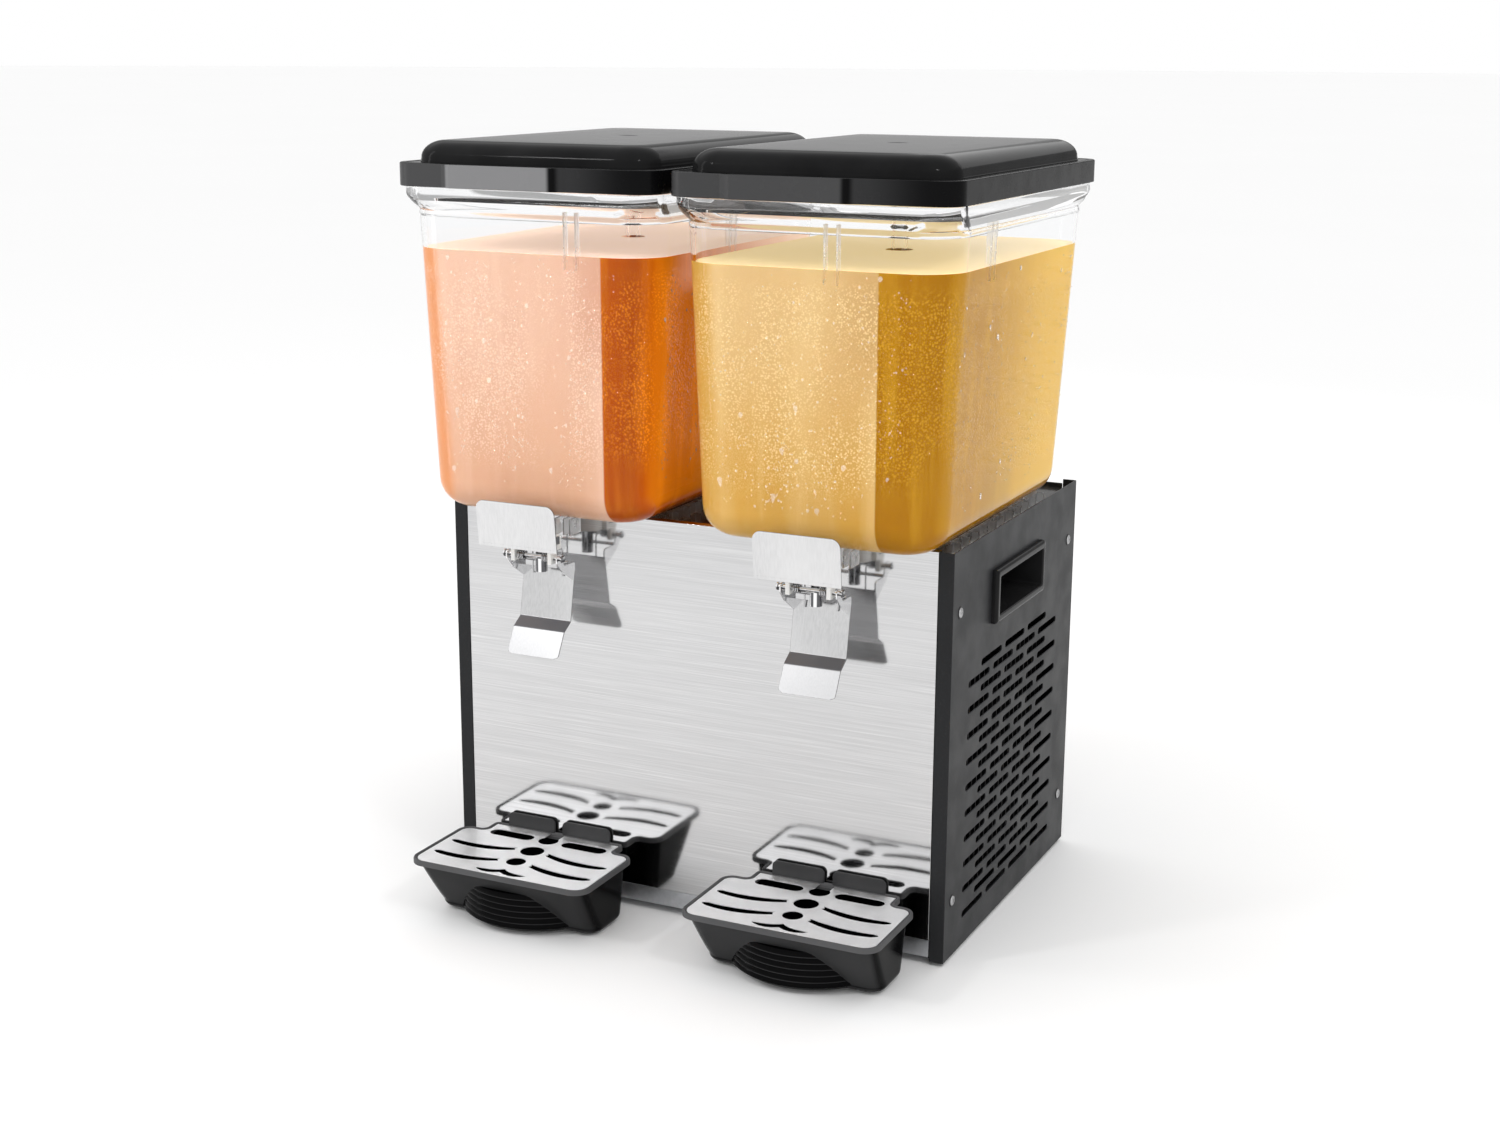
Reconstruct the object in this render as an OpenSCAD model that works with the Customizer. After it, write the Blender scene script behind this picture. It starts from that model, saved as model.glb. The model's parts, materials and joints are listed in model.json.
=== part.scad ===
// Refrigerated drink dispenser with two lift-off tanks on one cold base.
// X runs to the right, Y to the back and Z up. The machine stands on its feet at Z = 0,
// centred on X = 0 and Y = 0. Inside the modules Y is counted from the front panel's face
// and Z from the side panels' lower edge; placed() moves both to the machine's own frame.

/* [Cabinet] */
// Width over the side panels
cab_w = 478; // [470:2:500]
// Depth over the front and rear panels
cab_d = 332; // [330:2:350]
// Height of the side panels
cab_h = 358; // [356:1:362]
// Thickness of the sheet metal
sheet = 1.2; // [1:0.1:1.5]
// Width of the side panels' front and rear flanges
flange_w = 13; // [11:1:15]
// Height that the feet stand below the side panels
foot_drop = 3; // [2:1:6]

/* [Vents] */
// Rows of vent slots in each side panel
vent_rows = 20; // [12:2:20]
// Distance between two rows of vent slots
vent_pitch = 11.5; // [10:0.1:11.6]
// Length of one vent slot
vent_l = 53; // [40:1:55]
// Height of one vent slot
vent_h = 5.6; // [3:0.2:6]

/* [Tanks] */
// Distance between the middles of the two tanks
tank_pitch = 260; // [260:1:264]
// Half width of a tank at its top
tank_top_hw = 120; // [118:1:120]
// Half width of a tank at its floor
tank_low_hw = 109; // [107:1:110]
// Height of the tank's floor above the side panels' lower edge
tank_z = 359; // [359:1:362]
// Wall thickness of a tank
tank_t = 3.5; // [3:0.1:4]
// Radius of a tank's upright corners
tank_r = 40; // [36:1:44]
// Radius of the edge round a tank's floor
tank_floor_r = 26; // [22:1:28]

/* [Lids] */
// Half width of a lid
lid_hw = 125; // [125:1:127]
// Height of a lid's rim
lid_rim_h = 20; // [16:1:22]
// Height of the crown above the rim
lid_crown_h = 18; // [14:1:20]
// Inset of the crown from the rim
lid_inset = 13; // [10:1:15]

/* [Faucets] */
// Sideways offset of each faucet from the middle of its tank
faucet_shift = 5; // [0:1:8]
// Width of the cover plate
plate_w = 77; // [70:1:80]
// Height of the cover plate
plate_h = 41; // [36:1:44]
// Width of the push lever
lever_w = 51; // [46:1:54]

/* [Drip trays] */
// Distance between the middles of the two drip trays
tray_pitch = 268; // [260:1:272]
// Half width of a drip tray
tray_hw = 89; // [84:1:92]
// Distance from the front panel to a drip tray's front edge
tray_reach = 116; // [112:1:118]
// Height of a drip tray's rim
tray_z = 56; // [52:1:60]

/* [Hidden] */
$fn = 64;
hull_fn = 32;
eps = 0.01;

// Depth from the lowest to the highest Y, so that the frame's origin is in the middle
knob_out = 10;
mid_y = (cab_d + knob_out - tray_reach) / 2;

// Cabinet
half_w = cab_w / 2;
pan_z = 4;
front_low = 19;
deck_z = 350;
screw_z = [51.5, 304.5];
screw_y = [18, cab_d - 20];
rear_screw_x = 216;
rear_screw_z = [24, 180, 326];
handle_w = 124;
handle_h = 40;
handle_out = 5.5;
handle_y = 162;
handle_z = 299;
handle_depth = 34;
vent_z0 = 28;
vent_y0 = 44;
vent_gap = 9;
vent_n = 4;
switch_x = [-190, -150];
switch_z = 250;
knob_x = -110;
hook_z = 59;
hook_x = [10, 48];

// Evaporators, mixers and riser tubes
evap_y = 140;
evap_r = 56;
evap_top = 425;
gasket_r = 61.6;
floor_hole_r = 62;
magnet_r = 24;
riser_r = 6.5;
riser_top = 622;

// Fan and condenser
fan_x = 150;
fan_y = 165;
fan_z = 125;
fan_r = 84;
fan_blades = 5;
cond_x = [188, 228];
cond_y = [58, 281];
cond_z = [16, 232];
comp_x = -95;
comp_y = 205;
comp_r = 74;
feed_x = tank_pitch / 2 - 66;

// Tanks and lids
tank_front = -52;
tank_back = 301;
tank_low_front = -50;
tank_low_back = 289;
neck_z = 618;
lip_z = 636;
lid_z = 638;
upstand_z = 646;
lid_front = -59;
lid_back = 310;
lid_r = 20;
lid_t = 2.5;
lobe_x = [-64, 36];
lobe_out = 5;
lobe_run = 10;
skirt_hw = 97;
skirt_y = [10, 270];

// Faucets
spout_y = -40;
spout_r = 12;
seat_z = 342;
nozzle_z = 312;
nozzle_r = 5.3;
pin_y = -52;
pin_z = 328;
pin_r = 2;
plate_y = -77;
plate_z = 339;
plate_lean = 4.5;
lever_t = 1.2;
lever_path = [[-27, 312], [-35, 268], [-46.5, 261], [-58, 239]];
ear_x = lever_w / 2 - lever_t;
crossbar_z = 322;

// Drip trays
tray_t = 2.5;
tongue_hw = 67;
tongue_y = -1.5;
tray_back = -22;
grille_t = 1.2;
boss_r = 72;
boss_y = -35;
boss_h = 49;

// ---- shared shapes ----

module placed() translate([0, -mid_y, foot_drop]) children();

module at_tank(side) translate([side * tank_pitch / 2, 0, 0]) children();

module at_faucet(side) translate([side * tank_pitch / 2 + faucet_shift, 0, 0]) children();

module at_tray(side) translate([side * tray_pitch / 2, 0, 0]) children();

// Box between two corners
module block(lo, hi) translate(lo) cube(hi - lo);

// Cylinder along X, from x0 to x1
module rod_x(r, x0, x1) translate([x0, 0, 0]) rotate([0, 90, 0]) cylinder(r = r, h = x1 - x0);

// Cylinder along Y, from y0 to y1
module rod_y(r, y0, y1) translate([0, y0, 0]) rotate([-90, 0, 0]) cylinder(r = r, h = y1 - y0);

// Rectangle with round corners, symmetric about X = 0, in plan
module round_plan(hw, y0, y1, r) {
    translate([-hw + r, y0]) square([2 * (hw - r), y1 - y0]);
    translate([-hw, y0 + r]) square([2 * hw, y1 - y0 - 2 * r]);
    for (x = [-hw + r, hw - r], y = [y0 + r, y1 - r]) translate([x, y]) circle(r);
}

// Thin plate of that plan, for a hull
module plan_slab(hw, y0, y1, r, z) {
    translate([0, 0, z]) linear_extrude(eps) round_plan(hw, y0, y1, r, $fn = hull_fn);
}

// Slot with round ends along X, in plan
module slot_plan(length, width) {
    square([length - width, width], center = true);
    for (x = [-1, 1]) translate([x * (length - width) / 2, 0]) circle(width / 2);
}

// Slot with round ends that is cut through a side panel, along Y
module side_slot(length, width) {
    rotate([0, 90, 0]) rotate([0, 0, 90]) linear_extrude(20, center = true) slot_plan(length, width);
}

// Ring about Z
module ring(r_in, r_out, z0, z1) {
    translate([0, 0, z0]) linear_extrude(z1 - z0) difference() {
        circle(r_out);
        circle(r_in);
    }
}

// Countersunk-looking cap screw with its head towards -Y
module screw(head_r = 4, shank_r = 1.9, length = 8) {
    rod_y(head_r, -1.6, 0);
    rod_y(shank_r, 0, length);
}

// Bent sheet along X from a list of [y, z] points
module bent_sheet(path, width, thickness) {
    back = [for (i = [len(path) - 1 : -1 : 0]) path[i] + [thickness, 0.3]];
    rotate([90, 0, 90]) translate([0, 0, -width / 2]) linear_extrude(width) polygon(concat(path, back));
}

// Tube of straight runs between points that share two coordinates
module pipe(points, r) {
    for (i = [1 : len(points) - 2]) translate(points[i]) sphere(r, $fn = 24);
    for (i = [0 : len(points) - 2]) {
        a = points[i];
        d = points[i + 1] - a;
        translate(a)
            rotate(d.x != 0 ? [0, 90 * sign(d.x), 0] : d.y != 0 ? [-90 * sign(d.y), 0, 0]
                : [d.z < 0 ? 180 : 0, 0, 0])
            cylinder(r = r, h = norm(d), $fn = 24);
    }
}

// Half outline of an upright cup turned over, of radius r from z0 to z1, with an edge of radius e
function dome_profile(r, z0, z1, e) = concat([[0, z0], [r, z0]],
    [for (a = [0 : 15 : 90]) [r - e + e * cos(a), z1 - e + e * sin(a)]], [[0, z1]]);

// ---- cabinet ----

module base_pan() color("gainsboro") placed() difference() {
    union() {
        block([-half_w + 2 * sheet, sheet, pan_z], [half_w - 2 * sheet, cab_d - sheet, pan_z + sheet]);
        block([-half_w + flange_w + 0.5, 0, pan_z], [half_w - flange_w - 0.5, sheet, front_low]);
        block([-half_w + flange_w + 0.5, cab_d - 2.4 * sheet, pan_z],
              [half_w - flange_w - 0.5, cab_d - 1.4 * sheet, 32]);
    }
    for (x = [-190, 190], y = [40, cab_d - 42]) translate([x, y, 0]) cylinder(r = 3.2, h = 20);
    for (x = [-60, 60], y = [-50, 50])
        translate([comp_x + x, comp_y + y, 0]) cylinder(r = 4.2, h = 20);
    translate([-20, 60, 0]) for (i = [0 : 7]) translate([i * 16, 0, 0]) linear_extrude(20)
        rotate(90) slot_plan(50, 5);
    for (s = [-1, 1]) translate([s * rear_screw_x, cab_d, rear_screw_z[0]]) rod_y(2.1, -10, 10);
}

module rubber_feet() color("black") placed() {
    for (x = [-190, 190], y = [40, cab_d - 42]) translate([x, y, 0]) {
        translate([0, 0, -foot_drop]) cylinder(r1 = 15, r2 = 17, h = foot_drop + pan_z);
        cylinder(r = 3.1, h = pan_z + sheet + 0.2);
        translate([0, 0, pan_z + sheet]) cylinder(r1 = 5.5, r2 = 3.4, h = 4);
    }
}

module front_panel() color("silver") placed() difference() {
    union() {
        x = half_w - flange_w - 0.5;
        block([-x, 0, front_low + 0.3], [x, 1, cab_h]);
        block([-x, 0, cab_h - 1], [x, 9, cab_h]);
        block([-x, 0, front_low + 0.3], [x, 9, front_low + 1.3]);
        for (s = [-1, 1]) translate([s * (x - 0.5) - 0.5, 0, front_low + 0.3])
            cube([1, 12, cab_h - front_low - 0.3]);
    }
    for (side = [-1, 1], s = [-1, 1]) translate([side * tray_pitch / 2, 0, 0])
        block([s > 0 ? hook_x[0] - 1 : -hook_x[1] - 1, -5, hook_z - 2],
              [s > 0 ? hook_x[1] + 1 : -hook_x[0] + 1, 5, hook_z + 2]);
}

// Side panel for side = -1 (left) or 1 (right)
module side_panel(side) placed() scale([side, 1, 1]) difference() {
    union() {
        block([half_w - sheet, 0, 0], [half_w, cab_d, cab_h]);
        block([half_w - flange_w, 0, 0], [half_w, sheet, cab_h]);
        block([half_w - flange_w, cab_d - sheet, 0], [half_w, cab_d, cab_h]);
        block([half_w - 20, sheet, pan_z - sheet], [half_w, cab_d - sheet, pan_z]);
    }
    side_vents();
    translate([half_w - 10, handle_y - handle_w / 2, handle_z - handle_h / 2])
        cube([20, handle_w, handle_h]);
    for (y = screw_y, z = screw_z) translate([0, y, z]) rod_x(2.1, half_w - 5, half_w + 5);
}

// Rows of three and of four slots in turn, like bricks
module side_vents() {
    step = vent_l + vent_gap;
    for (row = [0 : vent_rows - 1], i = [0 : vent_n - 1 - row % 2]) {
        y = vent_y0 + vent_l / 2 + (i + (row % 2) / 2) * step;
        translate([half_w, y, vent_z0 + row * vent_pitch]) side_slot(vent_l, vent_h);
    }
}

module left_side_panel() color("dimgray") side_panel(-1);
module right_side_panel() color("dimgray") side_panel(1);

module rear_panel() color("dimgray") placed() difference() {
    x = half_w - flange_w - 0.5;
    block([-x, cab_d - sheet, pan_z], [x, cab_d, cab_h - 4]);
    translate([0, cab_d, 0]) {
        for (row = [0 : 13], col = [-1 : 1]) translate([40 + col * 58, 0, 60 + row * 12])
            rotate([90, 0, 0]) linear_extrude(20, center = true) slot_plan(48, 4);
        for (x = switch_x) translate([x - 8.5, -10, switch_z - 14]) cube([17, 20, 28]);
        translate([knob_x, 0, switch_z]) rod_y(4.2, -10, 10);
        translate([-190 - 14, -10, 60 - 10.5]) cube([28, 20, 21]);
        for (s = [-1, 1], z = rear_screw_z) translate([s * rear_screw_x, 0, z]) rod_y(2.1, -10, 10);
    }
}

module top_deck() color("darkslategray") placed() difference() {
    union() {
        block([-half_w + 2 * sheet, 1.3, deck_z - sheet], [half_w - 2 * sheet, cab_d - 2 * sheet, deck_z]);
        for (s = [-1, 1]) translate([s * (half_w - 2.5 * sheet) - sheet / 2, 13, deck_z - 14])
            cube([sheet, cab_d - 20, 14]);
        block([-half_w + flange_w + 2, cab_d - 3 * sheet, deck_z - 14],
              [half_w - flange_w - 2, cab_d - 2 * sheet, deck_z]);
    }
    for (side = [-1, 1]) at_tank(side) translate([0, evap_y, 0]) cylinder(r = evap_r - 3, h = 400);
    for (s = [-1, 1]) block([s * 226 - 6, -1, deck_z - 20], [s * 226 + 6, 13, deck_z + 1]);
}

module side_panel_screws() color("silver") placed() for (s = [-1, 1], y = screw_y, z = screw_z)
    translate([s * half_w, y, z]) rotate([0, 0, s * 90]) screw();

module rear_panel_screws() color("silver") placed() for (s = [-1, 1], z = rear_screw_z)
    translate([s * rear_screw_x, cab_d, z]) rotate([0, 0, 180]) screw();

// Grip cup with a bevelled frame, for side = -1 or 1
module handle_cup(side) color("black") placed() scale([side, 1, 1])
    translate([half_w, handle_y, handle_z]) difference() {
        w = handle_w / 2;
        h = handle_h / 2;
        union() {
            hull() {
                block([0, -w - 4, -h - 4], [handle_out - 2, w + 4, h + 4]);
                block([0, -w - 2, -h - 2], [handle_out, w + 2, h + 2]);
            }
            block([-handle_depth, -w + 0.3, -h + 0.3], [eps, w - 0.3, h - 0.3]);
        }
        block([-handle_depth + 2.5, -w + 3.5, -h + 4], [10, w - 3.5, h - 4]);
    }

module left_handle_cup() handle_cup(-1);
module right_handle_cup() handle_cup(1);

// ---- refrigeration ----

module compressor() color("dimgray") placed() translate([comp_x, comp_y, 0]) {
    rotate_extrude() polygon([[0, 22], [52, 22], [66, 34], [comp_r, 52], [comp_r, 90], [comp_r + 4, 91],
        [comp_r + 4, 95], [comp_r, 96], [comp_r, 130], [66, 156], [44, 172], [0, 180]]);
    difference() {
        translate([0, 0, 18]) linear_extrude(4) round_plan(72, -62, 62, 14);
        for (x = [-60, 60], y = [-50, 50]) translate([x, y, 10]) cylinder(r = 6, h = 20);
    }
    translate([-60, 0, 118]) rotate([0, -90, 0]) cylinder(r = 15, h = 30);
}

module compressor_grommets() color("black") placed() for (x = [-60, 60], y = [-50, 50])
    translate([comp_x + x, comp_y + y, pan_z + sheet]) {
        cylinder(r = 11, h = 12.8);
        cylinder(r = 5.9, h = 18);
        translate([0, 0, -3]) cylinder(r = 4, h = 6);
    }

module condenser() color("lightgray") placed() {
    for (i = [0 : 17]) translate([0, cond_y[0] + 8 + i * 12.2, 0])
        block([cond_x[0], 0, cond_z[0]], [cond_x[1], 1.2, cond_z[1]]);
    for (x = [cond_x[0] + 10, cond_x[1] - 10], i = [0 : 5]) translate([x, 0, 34 + i * 36])
        rod_y(4.7, cond_y[0], cond_y[1]);
    for (y = [cond_y[0], cond_y[1] - 2])
        block([cond_x[0], y, pan_z + sheet], [cond_x[1], y + 2, cond_z[1] + 6]);
}

module fan_shroud() color("dimgray") placed() {
    difference() {
        block([fan_x + 22, cond_y[0], pan_z + sheet], [fan_x + 24, cond_y[1], cond_z[1]]);
        translate([0, fan_y, fan_z]) rod_x(fan_r + 4, fan_x, fan_x + 40);
    }
    translate([0, fan_y, fan_z]) difference() {
        rod_x(fan_r + 5.5, fan_x + 4, fan_x + 24);
        rod_x(fan_r + 4, fan_x, fan_x + 40);
    }
    block([fan_x - 52, fan_y - 10, pan_z + sheet], [fan_x - 50, fan_y + 10, fan_z - 30]);
    block([fan_x - 52, fan_y - 24, pan_z + sheet], [fan_x - 20, fan_y + 24, pan_z + 2 * sheet]);
}

module fan_motor() color("slategray") placed() translate([0, fan_y, fan_z]) difference() {
    union() {
        rod_x(30, fan_x - 50, fan_x - 8);
        rod_x(10, fan_x - 8, fan_x - 3);
        block([fan_x - 50, -12, -60], [fan_x - 48, 12, -20]);
    }
    rod_x(3.05, fan_x - 30, fan_x);
}

module fan_blade() color("black") placed() translate([0, fan_y, fan_z]) {
    rod_x(3, fan_x - 28, fan_x);
    rod_x(17, fan_x - 2, fan_x + 16);
    for (i = [0 : fan_blades - 1]) rotate([i * 360 / fan_blades, 0, 0])
        translate([fan_x + 7, 0, 14]) rotate([0, 0, 34]) block([-1, -22, 0], [1, 22, 60]);
}

module filter_drier() color("peru") placed() translate([20, 292, 60]) {
    cylinder(r = 12, h = 90);
    translate([0, 0, 90]) cylinder(r1 = 12, r2 = 4, h = 12);
    translate([0, 0, -12]) cylinder(r1 = 4, r2 = 12, h = 12);
}

module refrigerant_pipes() color("peru") placed() {
    x = cond_x[0] + 10;
    pipe([[comp_x, comp_y + comp_r, 140], [comp_x, 300, 140], [comp_x, 300, 200], [x, 300, 200],
        [x, 300, 214], [x, cond_y[1], 214]], 3);
    pipe([[20, 292, 162], [20, 292, 240], [-40, 292, 240], [-40, 292, 286], [-40, evap_y - 2, 286]], 2);
    for (side = [-1, 1]) pipe([[-40, evap_y, 286], [side * feed_x, evap_y, 286],
        [side * feed_x, evap_y, 320]], 2);
}

module insulation_block() color("lightyellow") placed() difference() {
    block([-216, 24, 292], [216, 262, deck_z - sheet]);
    for (side = [-1, 1]) at_tank(side) translate([0, evap_y, 0]) cylinder(r = evap_r - 2, h = 400);
    for (side = [-1, 1]) translate([side * feed_x, evap_y, 0]) cylinder(r = 3, h = 324);
    for (side = [-1, 1]) block([side > 0 ? 200 : -240, 90, 250], [side > 0 ? 240 : -200, 235, 330]);
}

module control_box() color("ivory") placed() difference() {
    block([-222, 270, 215], [-85, cab_d - sheet, 290]);
    block([-220, 272, 217], [-87, cab_d, 288]);
}

module power_inlet() color("black") placed() translate([-190, cab_d, 60]) difference() {
    union() {
        block([-13.8, -24, -10.3], [13.8, 0, 10.3]);
        rotate([90, 0, 0]) translate([0, 0, -3]) linear_extrude(3)
            round_plan(20, -14, 14, 3);
    }
    block([-11.5, -16, -8], [11.5, 10, 8]);
    for (x = [-16.5, 16.5]) translate([x, 0, 0]) rod_y(1.6, -1, 10);
}

// Housing behind the rear panel for each rocker key, with the pin that the key turns on
module switch_sockets() color("black") placed() for (x = switch_x)
    translate([x, cab_d - sheet, switch_z]) {
        for (s = [-1, 1]) translate([s * 9.4 - 0.7, -22, -14]) cube([1.4, 22, 28]);
        translate([-10.1, -23.5, -14]) cube([20.2, 1.5, 28]);
        translate([0, sheet - 4, 0]) rod_x(1.5, -8.8, 8.8);
    }

// Rocker key with the bore for its pin
module rocker(x) placed() translate([x, cab_d - 4, switch_z]) difference() {
    union() {
        rod_x(4, -8, 8);
        rotate([90, 0, 90]) translate([0, 0, -8]) linear_extrude(16)
            polygon([[0, -11.5], [6.2, -12], [4.6, 0], [3.4, 12], [0, 11.5], [-5, 4], [-5, -4]]);
    }
    rod_x(1.55, -9, 9);
}

module cooling_switch() color("seagreen") rocker(switch_x[0]);
module mixing_switch() color("seagreen") rocker(switch_x[1]);

module thermostat_knob() color("black") placed() translate([knob_x, cab_d, switch_z]) {
    rod_y(4.13, -14, 0.6);
    difference() {
        union() {
            rod_y(13, 0.6, 3);
            rod_y(10, 3, knob_out);
        }
        block([-0.8, knob_out - 1.2, 1], [0.8, knob_out + 1, 12]);
        for (i = [0 : 11]) rotate([0, 15 + i * 30, 0]) translate([10.6, 0, 0])
            rod_y(1.4, 3.6, knob_out + 1);
    }
}

// ---- cold wells and mixers ----

module evaporator(side) color("silver") placed() at_tank(side) translate([0, evap_y, 0]) {
    ring(evap_r - 3, evap_r + 12, deck_z, deck_z + sheet);
    difference() {
        union() {
            rotate_extrude() polygon(dome_profile(evap_r, deck_z + sheet, evap_top, 14));
            translate([0, 0, deck_z]) cylinder(r = evap_r + 12, h = sheet);
            translate([0, 0, evap_top - 4]) cylinder(r = 3, h = 18);
        }
        rotate_extrude() polygon(dome_profile(evap_r - sheet, deck_z - 1, evap_top - sheet, 14 - sheet));
    }
}

module left_evaporator() evaporator(-1);
module right_evaporator() evaporator(1);

module evaporator_gasket(side) color("white") placed() at_tank(side) translate([0, evap_y, 0])
    ring(evap_r + 0.3, gasket_r, deck_z + sheet, 372);

module left_evaporator_gasket() evaporator_gasket(-1);
module right_evaporator_gasket() evaporator_gasket(1);

module mixer_motor(side) color("slategray") placed() at_tank(side) translate([0, evap_y, 0])
    difference() {
        union() {
            translate([0, 0, 330]) cylinder(r = 30, h = 48);
            translate([0, 0, 378]) cylinder(r = 9, h = 8);
            translate([-evap_r + 4, -9, 328]) cube([2 * evap_r - 8, 18, 2.2]);
        }
        translate([0, 0, 360]) cylinder(r = 3.05, h = 40);
    }

module left_mixer_motor() mixer_motor(-1);
module right_mixer_motor() mixer_motor(1);

module drive_magnet(side) color("black") placed() at_tank(side) translate([0, evap_y, 0]) {
    translate([0, 0, 388]) cylinder(r = magnet_r, h = 14);
    translate([0, 0, 364]) cylinder(r = 3, h = 25);
    for (a = [0, 90]) rotate(a) block([-magnet_r + 4, -5, 402], [magnet_r - 4, 5, 405]);
}

module left_drive_magnet() drive_magnet(-1);
module right_drive_magnet() drive_magnet(1);

// Pump wheel that turns on the pin on top of the cold well
module impeller(side) color("white") placed() at_tank(side) translate([0, evap_y, evap_top])
    difference() {
        union() {
            translate([0, 0, 1]) cylinder(r = 26, h = 4);
            translate([0, 0, 1]) cylinder(r = 7, h = 10);
            for (i = [0 : 5]) rotate(i * 60) block([5, -1, 4], [24, 1, 10]);
        }
        cylinder(r = 3.05, h = 30);
    }

module left_impeller() impeller(-1);
module right_impeller() impeller(1);

// Pump cover with three feet and the tube that lifts the drink to the top of the tank
module riser_tube(side) color([0.85, 0.9, 0.95, 0.6]) placed() at_tank(side)
    translate([0, evap_y, evap_top]) {
        top = riser_top - evap_top;
        difference() {
            union() {
                cylinder(r = 33, h = 17);
                translate([0, 0, 16]) cylinder(r1 = 20, r2 = riser_r, h = 14);
                cylinder(r = riser_r, h = top);
                translate([0, 0, top - 16]) cylinder(r1 = riser_r, r2 = 11, h = 16);
            }
            translate([0, 0, -1]) cylinder(r = 30, h = 15.5);
            cylinder(r = riser_r - 2, h = top + 1);
            for (a = [0 : 60 : 120]) rotate(a) block([-40, -9, -1], [40, 9, 11]);
        }
    }

module left_riser_tube() riser_tube(-1);
module right_riser_tube() riser_tube(1);

// ---- tanks and lids ----

// Solid of a tank grown inwards by an inset; the floor's edge is round
module tank_form(inset) hull() {
    plan_slab(tank_top_hw - inset, tank_front + inset, tank_back - inset, tank_r - inset, neck_z);
    r = tank_floor_r - inset;
    z = tank_z + inset;
    for (a = [0 : 22.5 : 90]) {
        g = inset + r * (1 - sin(a));
        plan_slab(tank_low_hw - g, tank_low_front + g, tank_low_back - g, tank_r - g, z + r * (1 - cos(a)));
    }
}

// Flare between the tank's neck and its lip
module lip_form(inset) hull() {
    plan_slab(tank_top_hw - inset, tank_front + inset, tank_back - inset, tank_r - inset, neck_z);
    plan_slab(lid_hw - 1 - inset, lid_front + 1 + inset, lid_back - 1 - inset, 28 - inset, lip_z);
}

module tank(side) color([0.9, 0.93, 0.97, 0.45]) placed() difference() {
    union() {
        at_tank(side) {
            tank_form(0);
            lip_form(0);
            translate([0, 0, lip_z]) linear_extrude(lid_z - lip_z)
                round_plan(lid_hw - 1, lid_front + 1, lid_back - 1, 28);
            translate([0, 0, lid_z]) linear_extrude(upstand_z - lid_z)
                round_plan(lid_hw - 4, lid_front + 4, lid_back - 4, 25);
            translate([0, 0, deck_z]) linear_extrude(tank_z + 4 - deck_z) difference() {
                round_plan(skirt_hw, skirt_y[0], skirt_y[1], 24);
                round_plan(skirt_hw - 3, skirt_y[0] + 3, skirt_y[1] - 3, 21);
            }
        }
        at_faucet(side) translate([0, spout_y, seat_z]) cylinder(r = spout_r, h = 29);
    }
    at_tank(side) {
        tank_form(tank_t);
        lip_form(tank_t + 3);
        translate([0, 0, neck_z + 8]) linear_extrude(40)
            round_plan(lid_hw - 7.5, lid_front + 7.5, lid_back - 7.5, 22);
        translate([0, evap_y, 0]) cylinder(r = floor_hole_r, h = 380);
    }
    at_faucet(side) translate([0, spout_y, seat_z - 1]) cylinder(r = 8, h = 36);
}

module left_tank() tank(-1);
module right_tank() tank(1);

// Crown of a lid with a round upper edge
module crown_form(inset) hull() {
    r = 15;
    for (a = [0 : 15 : 90]) {
        g = lid_inset + inset + (r - inset) * (1 - cos(a));
        plan_slab(lid_hw - g, lid_front + g, lid_back - g, 30 - g / 2,
                  lid_z + lid_rim_h + lid_crown_h - r + (r - inset) * sin(a));
    }
    g = lid_inset + inset;
    plan_slab(lid_hw - g, lid_front + g, lid_back - g, 30 - g / 2, lid_z + lid_rim_h - inset - 1);
}

module lid(side) color("black") placed() at_tank(side) difference() {
    union() {
        translate([0, 0, lid_z]) linear_extrude(lid_rim_h) {
            round_plan(lid_hw, lid_front, lid_back, lid_r);
            polygon([[lobe_x[0] - lobe_run, lid_front + 1], [lobe_x[0] - lobe_run, lid_front],
                [lobe_x[0], lid_front - lobe_out], [lobe_x[1], lid_front - lobe_out],
                [lobe_x[1] + lobe_run, lid_front], [lobe_x[1] + lobe_run, lid_front + 1]]);
        }
        crown_form(0);
    }
    translate([0, 0, lid_z - 1]) linear_extrude(lid_rim_h + 1 - lid_t)
        round_plan(lid_hw - 3.5, lid_front + 3.5, lid_back - 3.5, lid_r + 4);
    crown_form(lid_t);
    translate([0, 132, 600]) linear_extrude(100) slot_plan(16, 4.5);
}

module left_lid() lid(-1);
module right_lid() lid(1);

// ---- faucets ----

module faucet_body(side) color("whitesmoke") placed() at_faucet(side) difference() {
    union() {
        translate([0, spout_y, 334]) cylinder(r = 16, h = 22);
        block([-20, pin_y - 6, 334], [20, spout_y, 346]);
        for (s = [-1, 1]) translate([s * 18.2, 0, 0]) block([-1.8, pin_y - 5, 323], [1.8, pin_y + 5, 336]);
    }
    translate([0, spout_y, seat_z]) cylinder(r = spout_r + 0.05, h = 20);
    translate([0, spout_y, 330]) cylinder(r = nozzle_r + 0.05, h = 8);
    translate([0, spout_y, 330]) cylinder(r = 4.3, h = 20);
    translate([0, pin_y, pin_z]) rod_x(pin_r + 0.01, -30, 30);
}

module left_faucet_body() faucet_body(-1);
module right_faucet_body() faucet_body(1);

module nozzle(side) color("silver") placed() at_faucet(side) translate([0, spout_y, 0]) difference() {
    ring(4.3, nozzle_r, nozzle_z, 338);
    block([-8, -1.9, crossbar_z - 1.9], [8, 1.9, crossbar_z + 6]);
}

module left_nozzle() nozzle(-1);
module right_nozzle() nozzle(1);

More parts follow.
